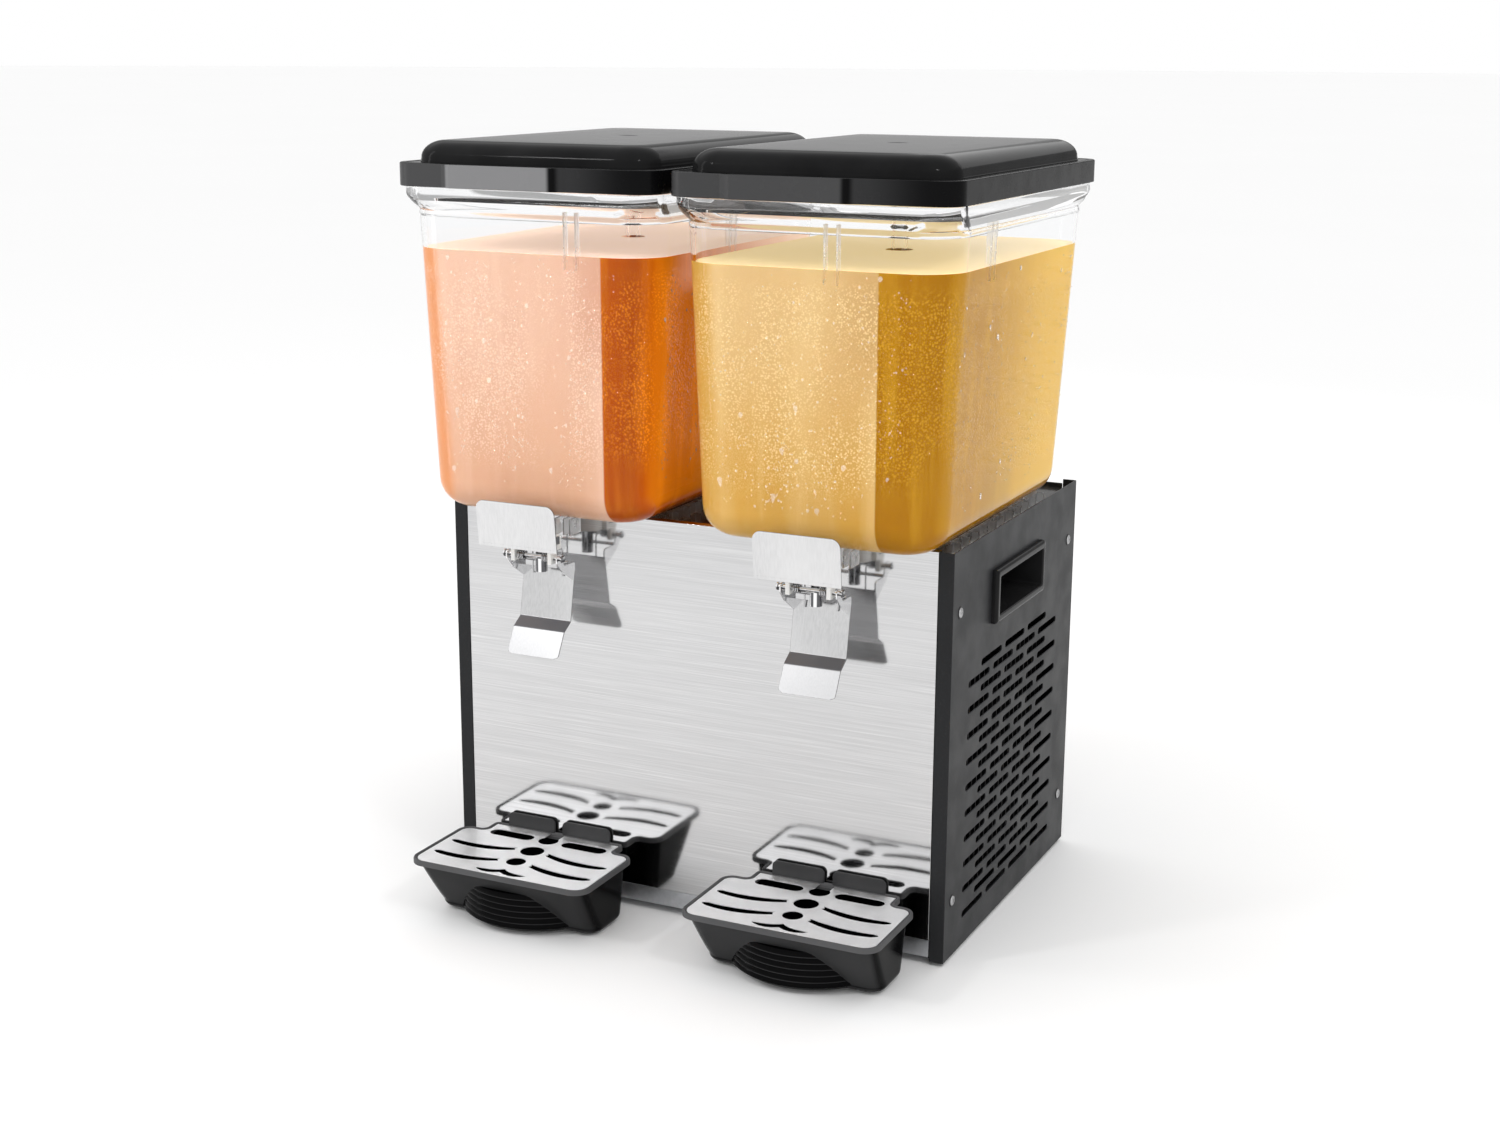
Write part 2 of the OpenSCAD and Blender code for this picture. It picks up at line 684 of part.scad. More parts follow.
// Stem with the seal on the seat and the cross bar that the lever lifts
module plunger(side) color("white") placed() at_faucet(side) translate([0, spout_y, 0]) {
    translate([0, 0, seat_z]) cylinder(r = 7.4, h = 3);
    translate([0, 0, seat_z + 3]) cylinder(r1 = 7.4, r2 = 3, h = 4);
    translate([0, 0, 318]) cylinder(r = 2.4, h = seat_z - 317);
    translate([0, 0, crossbar_z]) rod_x(1.5, -ear_x - 2.5, ear_x + 2.5);
}

module left_plunger() plunger(-1);
module right_plunger() plunger(1);

module lever(side) color("silver") placed() at_faucet(side) difference() {
    union() {
        bent_sheet(lever_path, lever_w, lever_t);
        for (s = [-1, 1]) translate([s * (ear_x + lever_t / 2) - lever_t / 2, 0, 0])
            rotate([90, 0, 90]) linear_extrude(lever_t) polygon([[-28.6, 302], [-26, 310], [-26, 320],
                [-44.5, 320], [-47, 330], [-49, 333], [-55, 333], [-57, 330], [-57, 325], [-48, 315]]);
    }
    translate([0, pin_y, pin_z]) rod_x(pin_r + 0.05, -40, 40);
}

module left_lever() lever(-1);
module right_lever() lever(1);

module lever_pin(side) color("silver") placed() at_faucet(side) translate([0, pin_y, pin_z]) {
    rod_x(pin_r, -29, 29);
    rod_x(3.4, -30, -28);
    rod_x(3.4, 28, 30);
}

module left_lever_pin() lever_pin(-1);
module right_lever_pin() lever_pin(1);

// Torsion spring on the lever's pin, with two legs that reach the lever
module lever_spring(side) color("silver") placed() at_faucet(side) translate([0, pin_y, pin_z]) {
    wire = 0.7;
    leg = 0.6;
    coil_r = 3.6;
    for (s = [-1, 1]) {
        for (i = [0 : 3]) translate([s * (9 + i * 1.6), 0, 0]) rotate([0, 90, 0]) rotate_extrude()
            translate([coil_r, 0]) circle(wire, $fn = 16);
        translate([s * 13.8, 0, coil_r]) rod_y(leg, 0, 22.5, $fn = 16);
        translate([s * 13.8, 22.5, coil_r]) sphere(leg, $fn = 16);
        translate([s * 13.8, 22.5, coil_r - 26]) cylinder(r = leg, h = 26, $fn = 16);
    }
    translate([0, 0, -coil_r]) rod_x(wire, -9, 9, $fn = 16);
}

module left_lever_spring() lever_spring(-1);
module right_lever_spring() lever_spring(1);

// Polished plate in front of the faucet, on two arms
module cover_plate(side) color("silver") placed() at_faucet(side) {
    r = 8;
    top = plate_h;
    translate([0, plate_y, plate_z])
        multmatrix([[1, 0, 0, 0], [0, 1, -plate_lean / plate_h, 0], [0, 0, 1, 0]])
        rotate([90, 0, 0]) linear_extrude(sheet) {
            translate([-plate_w / 2, 2]) square([plate_w, top - r - 2]);
            translate([-plate_w / 2 + r, 0]) square([plate_w - 2 * r, top]);
            for (s = [-1, 1]) {
                translate([s * (plate_w / 2 - r), top - r]) circle(r);
                translate([s * (plate_w / 2 - 2), 2]) circle(2);
                translate([s * (plate_w / 4), 1]) square([plate_w / 2 - 4, 2], center = true);
            }
        }
    for (s = [-1, 1]) translate([s * 20.8 - 0.6, 0, 0])
        block([0, plate_y - 1.4, plate_z], [1.2, spout_y - 4, plate_z + 7]);
}

module left_cover_plate() cover_plate(-1);
module right_cover_plate() cover_plate(1);

// ---- drip trays ----

// Outline of a tray: a wide front part and a narrower tongue that reaches the panel
module tray_plan(inset) {
    round_plan(tray_hw - inset, -tray_reach + inset, tray_back - inset, 15 - inset);
    round_plan(tongue_hw - inset, tray_back - 20, tongue_y - inset, 6 - min(inset, 4));
}

// Tapered tub without its rim
module tub_form(inset) hull() {
    plan_slab(tray_hw - 4 - inset, -tray_reach + 4 + inset, tray_back - 4 - inset, 12, tray_z - 3);
    plan_slab(tray_hw - 8 - inset, -81 + inset, tray_back - 3 - inset, 14, 6 + inset / 2);
    plan_slab(tray_hw - 12 - inset, -76 + inset, tray_back - 8 - inset, 12, inset);
}

module tray_boss(r, z0, z1) intersection() {
    translate([0, boss_y, z0]) cylinder(r = r, h = z1 - z0);
    block([-80, -120, -1], [80, -62, 60]);
}

module drip_tray(side) color("black") placed() at_tray(side) {
    difference() {
        union() {
            tub_form(0);
            tray_boss(boss_r, 0, boss_h);
            translate([0, 0, tray_z - 5]) linear_extrude(5) tray_plan(0);
            translate([0, 0, tray_z - 16]) linear_extrude(16)
                round_plan(tongue_hw - 2, tray_back - 12, tongue_y, 5);
        }
        tub_form(tray_t);
        tray_boss(boss_r - tray_t, tray_t, boss_h - 4);
        translate([0, 0, tray_z - 4]) linear_extrude(6) round_plan(tray_hw - 3.7 - tray_t,
            -tray_reach + 3.7 + tray_t, tray_back - 3.7 - tray_t, 11);
        translate([0, 0, tray_z - 2.4]) linear_extrude(10) tray_plan(3);
        translate([0, 0, tray_z - 13.5]) linear_extrude(20)
            round_plan(tongue_hw - 5, tray_back - 10, tongue_y - 5, 4);
        for (i = [0 : 6]) translate([0, boss_y, 5 + i * 6]) ring(boss_r - 0.8, boss_r + 2, 0, 1.2);
    }
    for (s = [-1, 1]) {
        translate([s > 0 ? 4 : -53, -4, tray_z - 6]) cube([49, 2.5, 18]);
        translate([s > 0 ? hook_x[0] : -hook_x[1], -2, hook_z - 1.3]) cube([hook_x[1] - hook_x[0], 9, 2.6]);
    }
}

module left_drip_tray() drip_tray(-1);
module right_drip_tray() drip_tray(1);

// Bowed slot on side s, whose lowest point is at y
module grille_slot(s, y) {
    r = 98;
    width = 6.5;
    x0 = 15.5;
    x1 = 79;
    intersection() {
        translate([s * 56, y + r]) difference() {
            circle(r + width / 2, $fn = 120);
            circle(r - width / 2, $fn = 120);
        }
        translate([s > 0 ? x0 : -x1, y - 6]) square([x1 - x0, 20]);
    }
}

module tray_grille(side) color("silver") placed() at_tray(side)
    translate([0, 0, tray_z - 2.2]) linear_extrude(grille_t) difference() {
        intersection() {
            tray_plan(3.4);
            translate([-100, -tray_reach]) square([200, tray_reach - 6]);
        }
        for (s = [-1, 1]) {
            translate([s * 37.5, -23]) slot_plan(44, 12);
            grille_slot(s, -60);
            grille_slot(s, -88.5);
            intersection() {
                translate([s * 16, -120]) difference() {
                    circle(22);
                    circle(17.5);
                }
                translate([s > 0 ? 0 : -26, -106]) square([26, 14]);
            }
        }
        translate([0, -22]) circle(8.5);
        translate([-6.5, -22]) square([13, 22]);
        translate([0, -50]) circle(10);
        translate([0, -77.5]) circle(8);
    }

module left_tray_grille() tray_grille(-1);
module right_tray_grille() tray_grille(1);

base_pan();
rubber_feet();
front_panel();
left_side_panel();
right_side_panel();
rear_panel();
top_deck();
side_panel_screws();
rear_panel_screws();
left_handle_cup();
right_handle_cup();
compressor();
compressor_grommets();
condenser();
fan_shroud();
fan_motor();
fan_blade();
filter_drier();
refrigerant_pipes();
insulation_block();
control_box();
power_inlet();
switch_sockets();
cooling_switch();
mixing_switch();
thermostat_knob();
left_evaporator();
right_evaporator();
left_evaporator_gasket();
right_evaporator_gasket();
left_mixer_motor();
right_mixer_motor();
left_drive_magnet();
right_drive_magnet();
left_impeller();
right_impeller();
left_riser_tube();
right_riser_tube();
left_tank();
right_tank();
left_lid();
right_lid();
left_faucet_body();
right_faucet_body();
left_nozzle();
right_nozzle();
left_plunger();
right_plunger();
left_lever();
right_lever();
left_lever_pin();
right_lever_pin();
left_lever_spring();
right_lever_spring();
left_cover_plate();
right_cover_plate();
left_drip_tray();
right_drip_tray();
left_tray_grille();
right_tray_grille();
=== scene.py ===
import json
import math
import random

import bmesh
import bpy
from mathutils import Euler, Matrix, Vector, noise


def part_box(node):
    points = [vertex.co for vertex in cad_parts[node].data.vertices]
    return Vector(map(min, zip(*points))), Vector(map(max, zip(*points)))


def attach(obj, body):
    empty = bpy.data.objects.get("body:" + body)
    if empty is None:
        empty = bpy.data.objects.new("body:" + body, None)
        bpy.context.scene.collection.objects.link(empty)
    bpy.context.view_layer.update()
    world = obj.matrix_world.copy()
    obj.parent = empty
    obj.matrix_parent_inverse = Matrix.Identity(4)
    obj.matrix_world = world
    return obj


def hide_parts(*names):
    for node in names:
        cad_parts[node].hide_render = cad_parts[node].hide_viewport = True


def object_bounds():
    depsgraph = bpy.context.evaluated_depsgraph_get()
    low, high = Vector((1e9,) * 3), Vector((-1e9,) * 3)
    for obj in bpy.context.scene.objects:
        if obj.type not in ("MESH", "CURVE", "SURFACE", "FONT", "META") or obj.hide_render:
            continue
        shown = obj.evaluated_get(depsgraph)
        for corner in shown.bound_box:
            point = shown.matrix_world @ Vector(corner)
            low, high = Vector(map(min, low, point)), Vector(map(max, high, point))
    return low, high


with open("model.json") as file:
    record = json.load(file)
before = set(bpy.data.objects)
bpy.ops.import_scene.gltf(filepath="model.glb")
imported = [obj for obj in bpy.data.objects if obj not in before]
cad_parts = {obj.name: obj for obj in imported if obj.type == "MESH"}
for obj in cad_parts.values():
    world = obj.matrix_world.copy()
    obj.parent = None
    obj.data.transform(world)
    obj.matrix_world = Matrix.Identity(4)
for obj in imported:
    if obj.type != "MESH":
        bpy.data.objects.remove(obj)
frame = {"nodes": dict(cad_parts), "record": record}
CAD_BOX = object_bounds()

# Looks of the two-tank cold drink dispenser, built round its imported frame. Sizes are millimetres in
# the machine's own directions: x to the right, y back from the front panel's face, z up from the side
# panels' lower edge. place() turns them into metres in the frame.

FACE_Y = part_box("front_panel")[0].y
EDGE_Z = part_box("left_side_panel")[0].z
ORIGIN = Vector((0, FACE_Y, EDGE_Z))
SIDES = ("left", "right")

# Tank, as the CAD tank is: half width, front, back and corner radius at the floor and at the neck
TANK_LOW = (109, -50, 289, 40)
TANK_TOP = (120, -52, 301, 40)
TANK_LIP = (124, -58, 309, 28)
FLOOR_Z, NECK_Z, RIM_Z = 359, 618, 638
FLOOR_R = 26
WALL = 3.5
WELL_Y, WELL_HOLE_R = 140, 62
DRINK_Z = 585
# Where each tank's front rib (x from the tank's centre) and right wall rib (y) are, and where the painted
# shade on the drink's corner starts (x from the tank's centre)
FRONT_RIB = {"left": 44, "right": 18}
WALL_RIB = {"left": 103, "right": 45}
CORNER_SHADE = {"left": 72, "right": 58}
# Axis of the lever pins
PIN_Y, PIN_Z = -52, 328


def place(p):
    """Metres in the frame, from millimetres in the machine's directions."""
    return Vector(p) / 1000 + ORIGIN


def span(node):
    """Lowest and highest corner of a CAD node, in millimetres in the machine's directions."""
    low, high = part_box(node)
    return (low - ORIGIN) * 1000, (high - ORIGIN) * 1000


def middle(node):
    """Centre in X and half width of a CAD node."""
    low, high = span(node)
    return (low.x + high.x) / 2, (high.x - low.x) / 2


def centre_x(node):
    return middle(node)[0]


def blend(a, b, t):
    return tuple(p + (q - p) * t for p, q in zip(a, b))


# ---- materials ----

class Nodes:
    """A new material's node tree, with short calls for the nodes that the materials share."""

    def __init__(self, name):
        self.material = bpy.data.materials.new(name)
        self.material.use_nodes = True
        self.tree = self.material.node_tree
        self.shader = self.tree.nodes["Principled BSDF"]
        self.where = self.add("ShaderNodeTexCoord").outputs["Object"]

    def add(self, kind, **values):
        node = self.tree.nodes.new(kind)
        for key, value in values.items():
            setattr(node, key, value)
        return node

    def link(self, a, b):
        self.tree.links.new(a, b)

    def feed(self, socket, value):
        """Links the socket, or sets a number or a colour on it."""
        if isinstance(value, bpy.types.NodeSocket):
            self.link(value, socket)
        else:
            socket.default_value = (*value, 1) if isinstance(value, tuple) else value

    def set(self, **values):
        for key, value in values.items():
            self.shader.inputs[key.replace("_", " ")].default_value = value

    def scaled(self, scale):
        node = self.add("ShaderNodeMapping")
        node.inputs["Scale"].default_value = scale
        self.link(self.where, node.inputs["Vector"])
        return node.outputs["Vector"]

    def noise(self, scale, detail=3, stretch=(1, 1, 1), rough=0.55):
        node = self.add("ShaderNodeTexNoise")
        node.inputs["Scale"].default_value = scale
        node.inputs["Detail"].default_value = detail
        node.inputs["Roughness"].default_value = rough
        self.link(self.scaled(stretch), node.inputs["Vector"])
        return node.outputs["Fac"]

    def spots(self, scale, stretch=(1, 1, 1)):
        node = self.add("ShaderNodeTexVoronoi")
        node.inputs["Scale"].default_value = scale
        self.link(self.scaled(stretch), node.inputs["Vector"])
        return node.outputs["Distance"]

    def remap(self, value, low, high, to_low=0.0, to_high=1.0):
        node = self.add("ShaderNodeMapRange", interpolation_type="SMOOTHSTEP")
        for i, v in enumerate((low, high, to_low, to_high), 1):
            node.inputs[i].default_value = v
        self.link(value, node.inputs[0])
        return node.outputs[0]

    def math(self, kind, a, b=0):
        node = self.add("ShaderNodeMath", operation=kind)
        self.feed(node.inputs[0], a)
        self.feed(node.inputs[1], b)
        return node.outputs[0]

    def times(self, value, *factors):
        for factor in factors:
            value = self.math("MULTIPLY", value, factor)
        return value

    def mix(self, factor, a, b, kind="MIX"):
        node = self.add("ShaderNodeMix", data_type="RGBA", blend_type=kind)
        colours = [s for s in node.inputs if s.type == "RGBA"]
        for socket, value in zip([node.inputs[0]] + colours, (factor, a, b)):
            self.feed(socket, value)
        return next(s for s in node.outputs if s.type == "RGBA")

    def colour(self, value):
        self.link(value, self.shader.inputs["Base Color"])

    def roughness(self, value, low, high):
        self.link(self.remap(value, 0.25, 0.75, low, high), self.shader.inputs["Roughness"])

    def bump(self, height, depth, strength=1.0):
        node = self.add("ShaderNodeBump")
        node.inputs["Strength"].default_value = strength
        node.inputs["Distance"].default_value = depth
        self.link(height, node.inputs["Height"])
        self.link(node.outputs["Normal"], self.shader.inputs["Normal"])

    def part(self, vector, axis):
        split = self.add("ShaderNodeSeparateXYZ")
        self.link(vector, split.inputs[0])
        return split.outputs[axis]

    def normal_part(self, axis):
        """The surface normal's X, Y or Z part, in the object's own directions."""
        return self.part(self.add("ShaderNodeTexCoord").outputs["Normal"], axis)

    def ramp(self, axis, start, end, to_low=0.0, to_high=1.0):
        """Blend between two places along an axis, in millimetres in the machine's directions."""
        low, high = (mm / 1000 + ORIGIN["XYZ".index(axis)] for mm in (start, end))
        return self.remap(self.part(self.where, axis), low, high, to_low, to_high)


def plastic(name, colour, rough, grain, depth, tint=0.25, coat=0.0, shine=0.5):
    """Moulded plastic with a fine spark-eroded grain and slight unevenness in colour and gloss."""
    m = Nodes(name)
    m.set(Specular_IOR_Level=shine)
    lighter = tuple(c + (1 - c) * 0.02 + c * tint for c in colour)
    m.colour(m.mix(m.noise(14, 4), colour, lighter))
    m.roughness(m.noise(40, 4), rough * 0.85, rough * 1.2)
    m.bump(m.noise(grain, 2), depth)
    m.set(Coat_Weight=coat, Coat_Roughness=0.08)
    return m.material


def tray_plastic():
    """Gloss black tray plastic with a painted sheen: a soft grey tone on the tub's sloping front."""
    m = Nodes("gloss black tray")
    # Painted sheen: mask of the tub's sloping front, made uneven below
    sloping = m.times(m.remap(m.normal_part("Z"), -0.2, -0.42), m.remap(m.normal_part("Y"), -0.45, -0.75))
    uneven = m.remap(m.noise(11, 2), 0.3, 0.7, 0.6, 1.0)
    m.colour(m.mix(m.times(sloping, uneven), (0.0028, 0.0028, 0.003), (0.038, 0.038, 0.039)))
    m.roughness(m.noise(40, 4), 0.1, 0.18)
    m.bump(m.noise(1100, 2), 0.00001)
    m.set(Specular_IOR_Level=0.03)
    return m.material


def metal(name, colour, rough, stretch, scale, depth, contrast=0.1):
    """Drawn or brushed metal: a grain stretched along one direction, in colour, gloss and relief."""
    m = Nodes(name)
    m.set(Metallic=1.0)
    fine = m.noise(scale, 5, stretch, 0.7)
    broad = m.noise(scale * 0.16, 3, stretch, 0.6)
    both = m.times(m.math("ADD", fine, broad), 0.5)
    darker = tuple(c * (1 - contrast) for c in colour)
    lighter = tuple(min(1.0, c * (1 + contrast * 0.5)) for c in colour)
    m.colour(m.mix(m.remap(both, 0.36, 0.64), darker, lighter))
    m.roughness(both, rough * 0.7, rough * 1.35)
    m.bump(fine, depth)
    return m.material


def beads(m):
    """Fine condensation below the drink's level: dots, thick in upright bands and thin between them."""
    dots = m.remap(m.spots(520), 0.5, 0.26)
    bands = m.remap(m.noise(27, 3, (1, 1, 0.12)), 0.36, 0.52, 0.1, 1.0)
    patches = m.remap(m.noise(30, 3, (1, 1, 0.5)), 0.34, 0.52, 0.15, 1.0)
    low, high = FLOOR_Z + 30, DRINK_Z - 2
    return m.times(dots, bands, patches, m.ramp("Z", low, low + 50), m.ramp("Z", high, high - 20))


def clear_plastic(name, bend=1.4, wet=False, haze=0.0):
    """Clear polycarbonate with faint moulding waves, handling haze and, on a cold tank, fine beads."""
    m = Nodes(name)
    m.set(Transmission_Weight=1.0, IOR=bend, Base_Color=(0.99, 0.992, 0.995, 1))
    m.roughness(m.noise(60, 4), haze, haze * 1.3 + 0.03)
    waves = m.noise(22, 3)
    if wet:
        m.bump(m.math("ADD", m.times(waves, 0.2), beads(m)), 0.0009, 0.55)
    else:
        m.bump(waves, 0.0002, 0.4)
    return m.material


def water():
    m = Nodes("condensation")
    m.set(Transmission_Weight=0.85, IOR=1.33, Base_Color=(1, 0.97, 0.92, 1))
    m.roughness(m.noise(500, 2), 0.0, 0.08)
    return m.material


def drink(name, side, front, foot, band, flank, back, top, glow):
    """Cloudy juice, with painted shade round its front right corner, where one sees along more of it.

    The tones are the front's upper part and its foot, the band of painted shade at the corner, the right
    flank from its front to its back, and the liquid's level, painted lighter. glow is the strength of a
    painted glow on the flank, an emission that stands in for light coming through it.
    """
    m = Nodes(name)
    across, along = m.normal_part("X"), m.normal_part("Y")
    leftward = m.times(across, -1)
    start = centre_x(f"{side}_lid") + CORNER_SHADE[side]
    facing = m.remap(along, 0.3, -0.1)
    # Painted shade: mask of the deeper band, on the front past start and round the front right corner
    past = m.times(m.ramp("X", start - 0.8, start + 0.8), facing)
    corner = m.math("MAXIMUM", past, m.remap(across, 0.05, 0.2))
    streak = m.noise(70, 4, (1, 1, 0.07), 0.6)
    cloud = m.noise(9, 4, (1, 1, 0.5))
    col = drink_front(m, start, facing, front, foot, band, top, (cloud, streak))
    col = m.mix(corner, col, m.mix(m.remap(streak, 0.45, 0.75, 0, 0.25), band, flank))

    upper = m.times(m.ramp("Z", 545, 570), m.ramp("Y", -15, 30))
    side_tone = m.mix(m.math("MAXIMUM", upper, m.ramp("Y", 60, 200)), flank, back)
    # Painted shadow of the cold well: a faint dull patch low on the flank
    well = m.times(m.ramp("Y", 45, 70), m.ramp("Y", 145, 125), m.ramp("Z", 430, 405), 0.22)
    side_tone = m.mix(well, side_tone, (0.36, 0.30, 0.10))
    col = m.mix(m.times(m.remap(across, 0.80, 0.985), m.ramp("Y", 13, 253, 0.25, 1.0)), col, side_tone)
    # Painted shade: deeper tones on the drink's left side and its front left corner, like the band round
    # the right corner
    col = m.mix(m.remap(leftward, 0.2, 0.9), col, blend(front, band, 0.25))
    edge = m.times(m.remap(leftward, 0.1, 0.5), m.ramp("Y", 12, -15))
    col = m.mix(edge, col, blend(blend(front, flank, 0.5), band, 0.42))
    col = m.mix(m.remap(along, 0.1, 0.9), col, blend(front, back, 0.5))
    # Painted highlights of the beads: lighter dots in the drink where the beads lie, weaker on the corner
    # band
    bead_highlights = m.times(beads(m), m.remap(corner, 0, 1, 0.8, 0.5))
    col = m.mix(bead_highlights, col, m.mix(corner, top, flank))
    # Painted light: the drink's level takes the lighter top tone
    upward = m.remap(m.normal_part("Z"), 0.5, 0.9)
    col = m.mix(upward, col, top)
    m.colour(col)

    # Painted glow: an emission in the drink's colour that stands in for light scattered through it; faint
    # on the front, stronger on the flank and its upper front, full on the level
    flank_glow = m.mix(upper, (glow,) * 3, (glow * 1.5,) * 3)
    through = m.mix(m.remap(across, 0.55, 0.98), (0.15,) * 3, flank_glow)
    through = m.mix(upward, through, (1.0,) * 3)
    m.link(m.mix(1, col, through, "MULTIPLY"), m.shader.inputs["Emission Color"])
    m.roughness(cloud, 0.35, 0.5)
    m.set(Specular_IOR_Level=0.08, Subsurface_Weight=0.12, Subsurface_Scale=0.02, Emission_Strength=0.75,
          Subsurface_Radius=(1.0, 0.45, 0.15))
    m.bump(m.noise(300, 3), 0.0002, 0.35)
    return m.material


def drink_front(m, start, facing, front, foot, band, top, clouds):
    """Tone of the drink's front wall: a painted highlight low down beside the corner band, and the band's
    painted shade fading in beside it high up.
    """
    cloud, streak = clouds
    high = m.ramp("Z", 460, 540)
    low = m.math("SUBTRACT", 1.0, high)
    col = m.mix(m.ramp("Z", 560, 380), front, foot)
    col = m.mix(m.remap(cloud, 0.35, 0.75, 0, 0.12), col, band)
    col = m.mix(m.remap(streak, 0.5, 0.78, 0, 0.2), col, top)
    col = m.mix(m.remap(m.noise(17, 3, (1, 1, 0.14)), 0.45, 0.62, 0, 0.2), col, top)
    # Painted highlight: a pale strip low down, just left of the corner band
    col = m.mix(m.times(m.ramp("X", start - 14, start - 2), facing, low, 0.3), col, top)
    # Painted shade: the corner band's deeper tone fades in beside it, high up
    return m.mix(m.times(m.ramp("X", start - 60, start), high, facing, 0.3), col, band)


def powder_coat():
    """Charcoal powder coat: orange-peel texture, brighter flecks, and a painted highlight along the slot
    edges.
    """
    m = Nodes("charcoal powder coat")
    base = m.mix(m.noise(5, 3), (0.015, 0.0155, 0.0165), (0.022, 0.0225, 0.024))
    shade = m.mix(m.remap(m.noise(1500, 2), 0.6, 0.75, 0, 0.5), base, (0.06, 0.061, 0.064))
    # Painted highlight: edges whose normal faces neither across nor along, such as the slots' upper and
    # lower edges
    edge_highlight = m.times(m.remap(m.math("ABSOLUTE", m.normal_part("X")), 0.9, 0.6),
                   m.remap(m.math("ABSOLUTE", m.normal_part("Y")), 0.7, 0.4), 0.7)
    m.colour(m.mix(edge_highlight, shade, (0.09, 0.092, 0.096)))
    m.set(Specular_IOR_Level=0.11)
    m.roughness(m.noise(30, 4), 0.34, 0.46)
    m.bump(m.noise(900, 3), 0.00012, 0.6)
    return m.material


def brushed_front():
    """Brushed stainless front: fine horizontal grain over a fairly sharp mirror."""
    m = Nodes("brushed stainless front")
    m.set(Metallic=1.0)
    fine = m.noise(2600, 4, (0.006, 1, 1), 0.7)
    lines = m.noise(1500, 3, (0.005, 1, 1), 0.65)
    patches = m.noise(40, 3, (0.06, 1, 1), 0.6)
    grain = m.times(m.math("ADD", fine, lines), 0.5)
    shade = m.mix(m.remap(grain, 0.4, 0.62), (0.52, 0.52, 0.525), (0.62, 0.62, 0.625))
    shade = m.mix(m.remap(lines, 0.60, 0.70, 0, 0.5), shade, (0.74, 0.74, 0.74))
    shade = m.mix(m.remap(patches, 0.45, 0.7, 0, 0.2), shade, (0.62, 0.62, 0.62))
    m.colour(shade)
    m.roughness(grain, 0.05, 0.11)
    m.bump(fine, 0.00001, 0.4)
    return m.material


def bright_steel(name, edge_axis, edge, rough=0.13, upper=None):
    """Polished sheet steel with soft drawn grain and edges painted darker, as painted dark reflections.

    The edges are where the normal's part along edge_axis passes the two limits in edge; upper, when it
    is given, is a darker tone painted on faces that look up, as a painted reflection.
    """
    m = Nodes(name)
    m.set(Metallic=1.0)
    grain = m.noise(900, 4, (1, 1, 0.04), 0.65)
    broad = m.noise(14, 3, (1, 1, 0.6))
    shade = m.mix(m.remap(grain, 0.35, 0.65), (0.58, 0.58, 0.585), (0.64, 0.64, 0.645))
    shade = m.mix(m.remap(broad, 0.35, 0.7, 0, 0.5), shade, (0.74, 0.74, 0.74))
    gloss = m.remap(broad, 0.25, 0.75, rough * 0.8, rough * 1.3)
    if upper:
        # Painted reflection: faces that look up take the darker tone upper
        looks_up = m.remap(m.normal_part("Z"), 0.3, 0.7)
        shade = m.mix(looks_up, shade, upper)
        gloss = m.math("ADD", gloss, m.times(looks_up, 0.4))
    # Painted dark reflection on the edges
    size = m.math("ABSOLUTE", m.normal_part(edge_axis))
    shade = m.mix(m.remap(size, *edge), shade, (0.16, 0.16, 0.165))
    m.colour(shade)
    m.link(gloss, m.shader.inputs["Roughness"])
    m.bump(grain, 0.00001, 0.5)
    return m.material


def lid_rim(side, lit, corner):
    """Satin black rim whose front holds painted soft reflections: lit between its steps, corner left of
    them.
    """
    m = Nodes(f"satin black {side} lid rim")
    middle = centre_x(f"{side}_lid")
    # Painted reflections on the front: dimmer to the right, a dark line at the right step, the lit tone
    # between the steps and the corner tone left of them; other faces stay black
    shade = m.mix(m.ramp("X", middle + 36, middle + 105), (0.03, 0.03, 0.031), (0.003, 0.003, 0.0033))
    shade = m.mix(m.ramp("X", middle + 42, middle + 37), shade, (0.002, 0.002, 0.0022))
    shade = m.mix(m.ramp("X", middle + 34, middle + 29), shade, (lit, lit, lit * 1.02))
    shade = m.mix(m.ramp("X", middle - 66, middle - 70), shade, (corner, corner, corner * 1.02))
    m.colour(m.mix(m.remap(m.normal_part("Y"), -0.5, -0.85), (0.003, 0.003, 0.0033), shade))
    m.roughness(m.noise(60, 4), 0.18, 0.3)
    m.set(Specular_IOR_Level=0.06)
    m.bump(m.noise(900, 2), 0.00001)
    return m.material


def chrome():
    """Chrome on small round parts, with painted dark and light bands that stand in for the studio's
    reflections on it.
    """
    m = Nodes("chrome")
    m.set(Metallic=1.0)
    across = m.math("ADD", m.normal_part("X"), m.times(m.normal_part("Z"), 0.35))
    wave = m.math("SINE", m.times(across, 6.2))
    scratch = m.noise(1500, 3, (1, 1, 0.2))
    # Painted reflections: dark and light bands by the way the surface faces
    shade = m.mix(m.remap(wave, -0.35, 0.4), (0.10, 0.10, 0.105), (0.86, 0.86, 0.865))
    m.colour(m.mix(m.remap(scratch, 0.55, 0.75, 0, 0.2), shade, (0.5, 0.5, 0.5)))
    m.roughness(scratch, 0.05, 0.12)
    return m.material


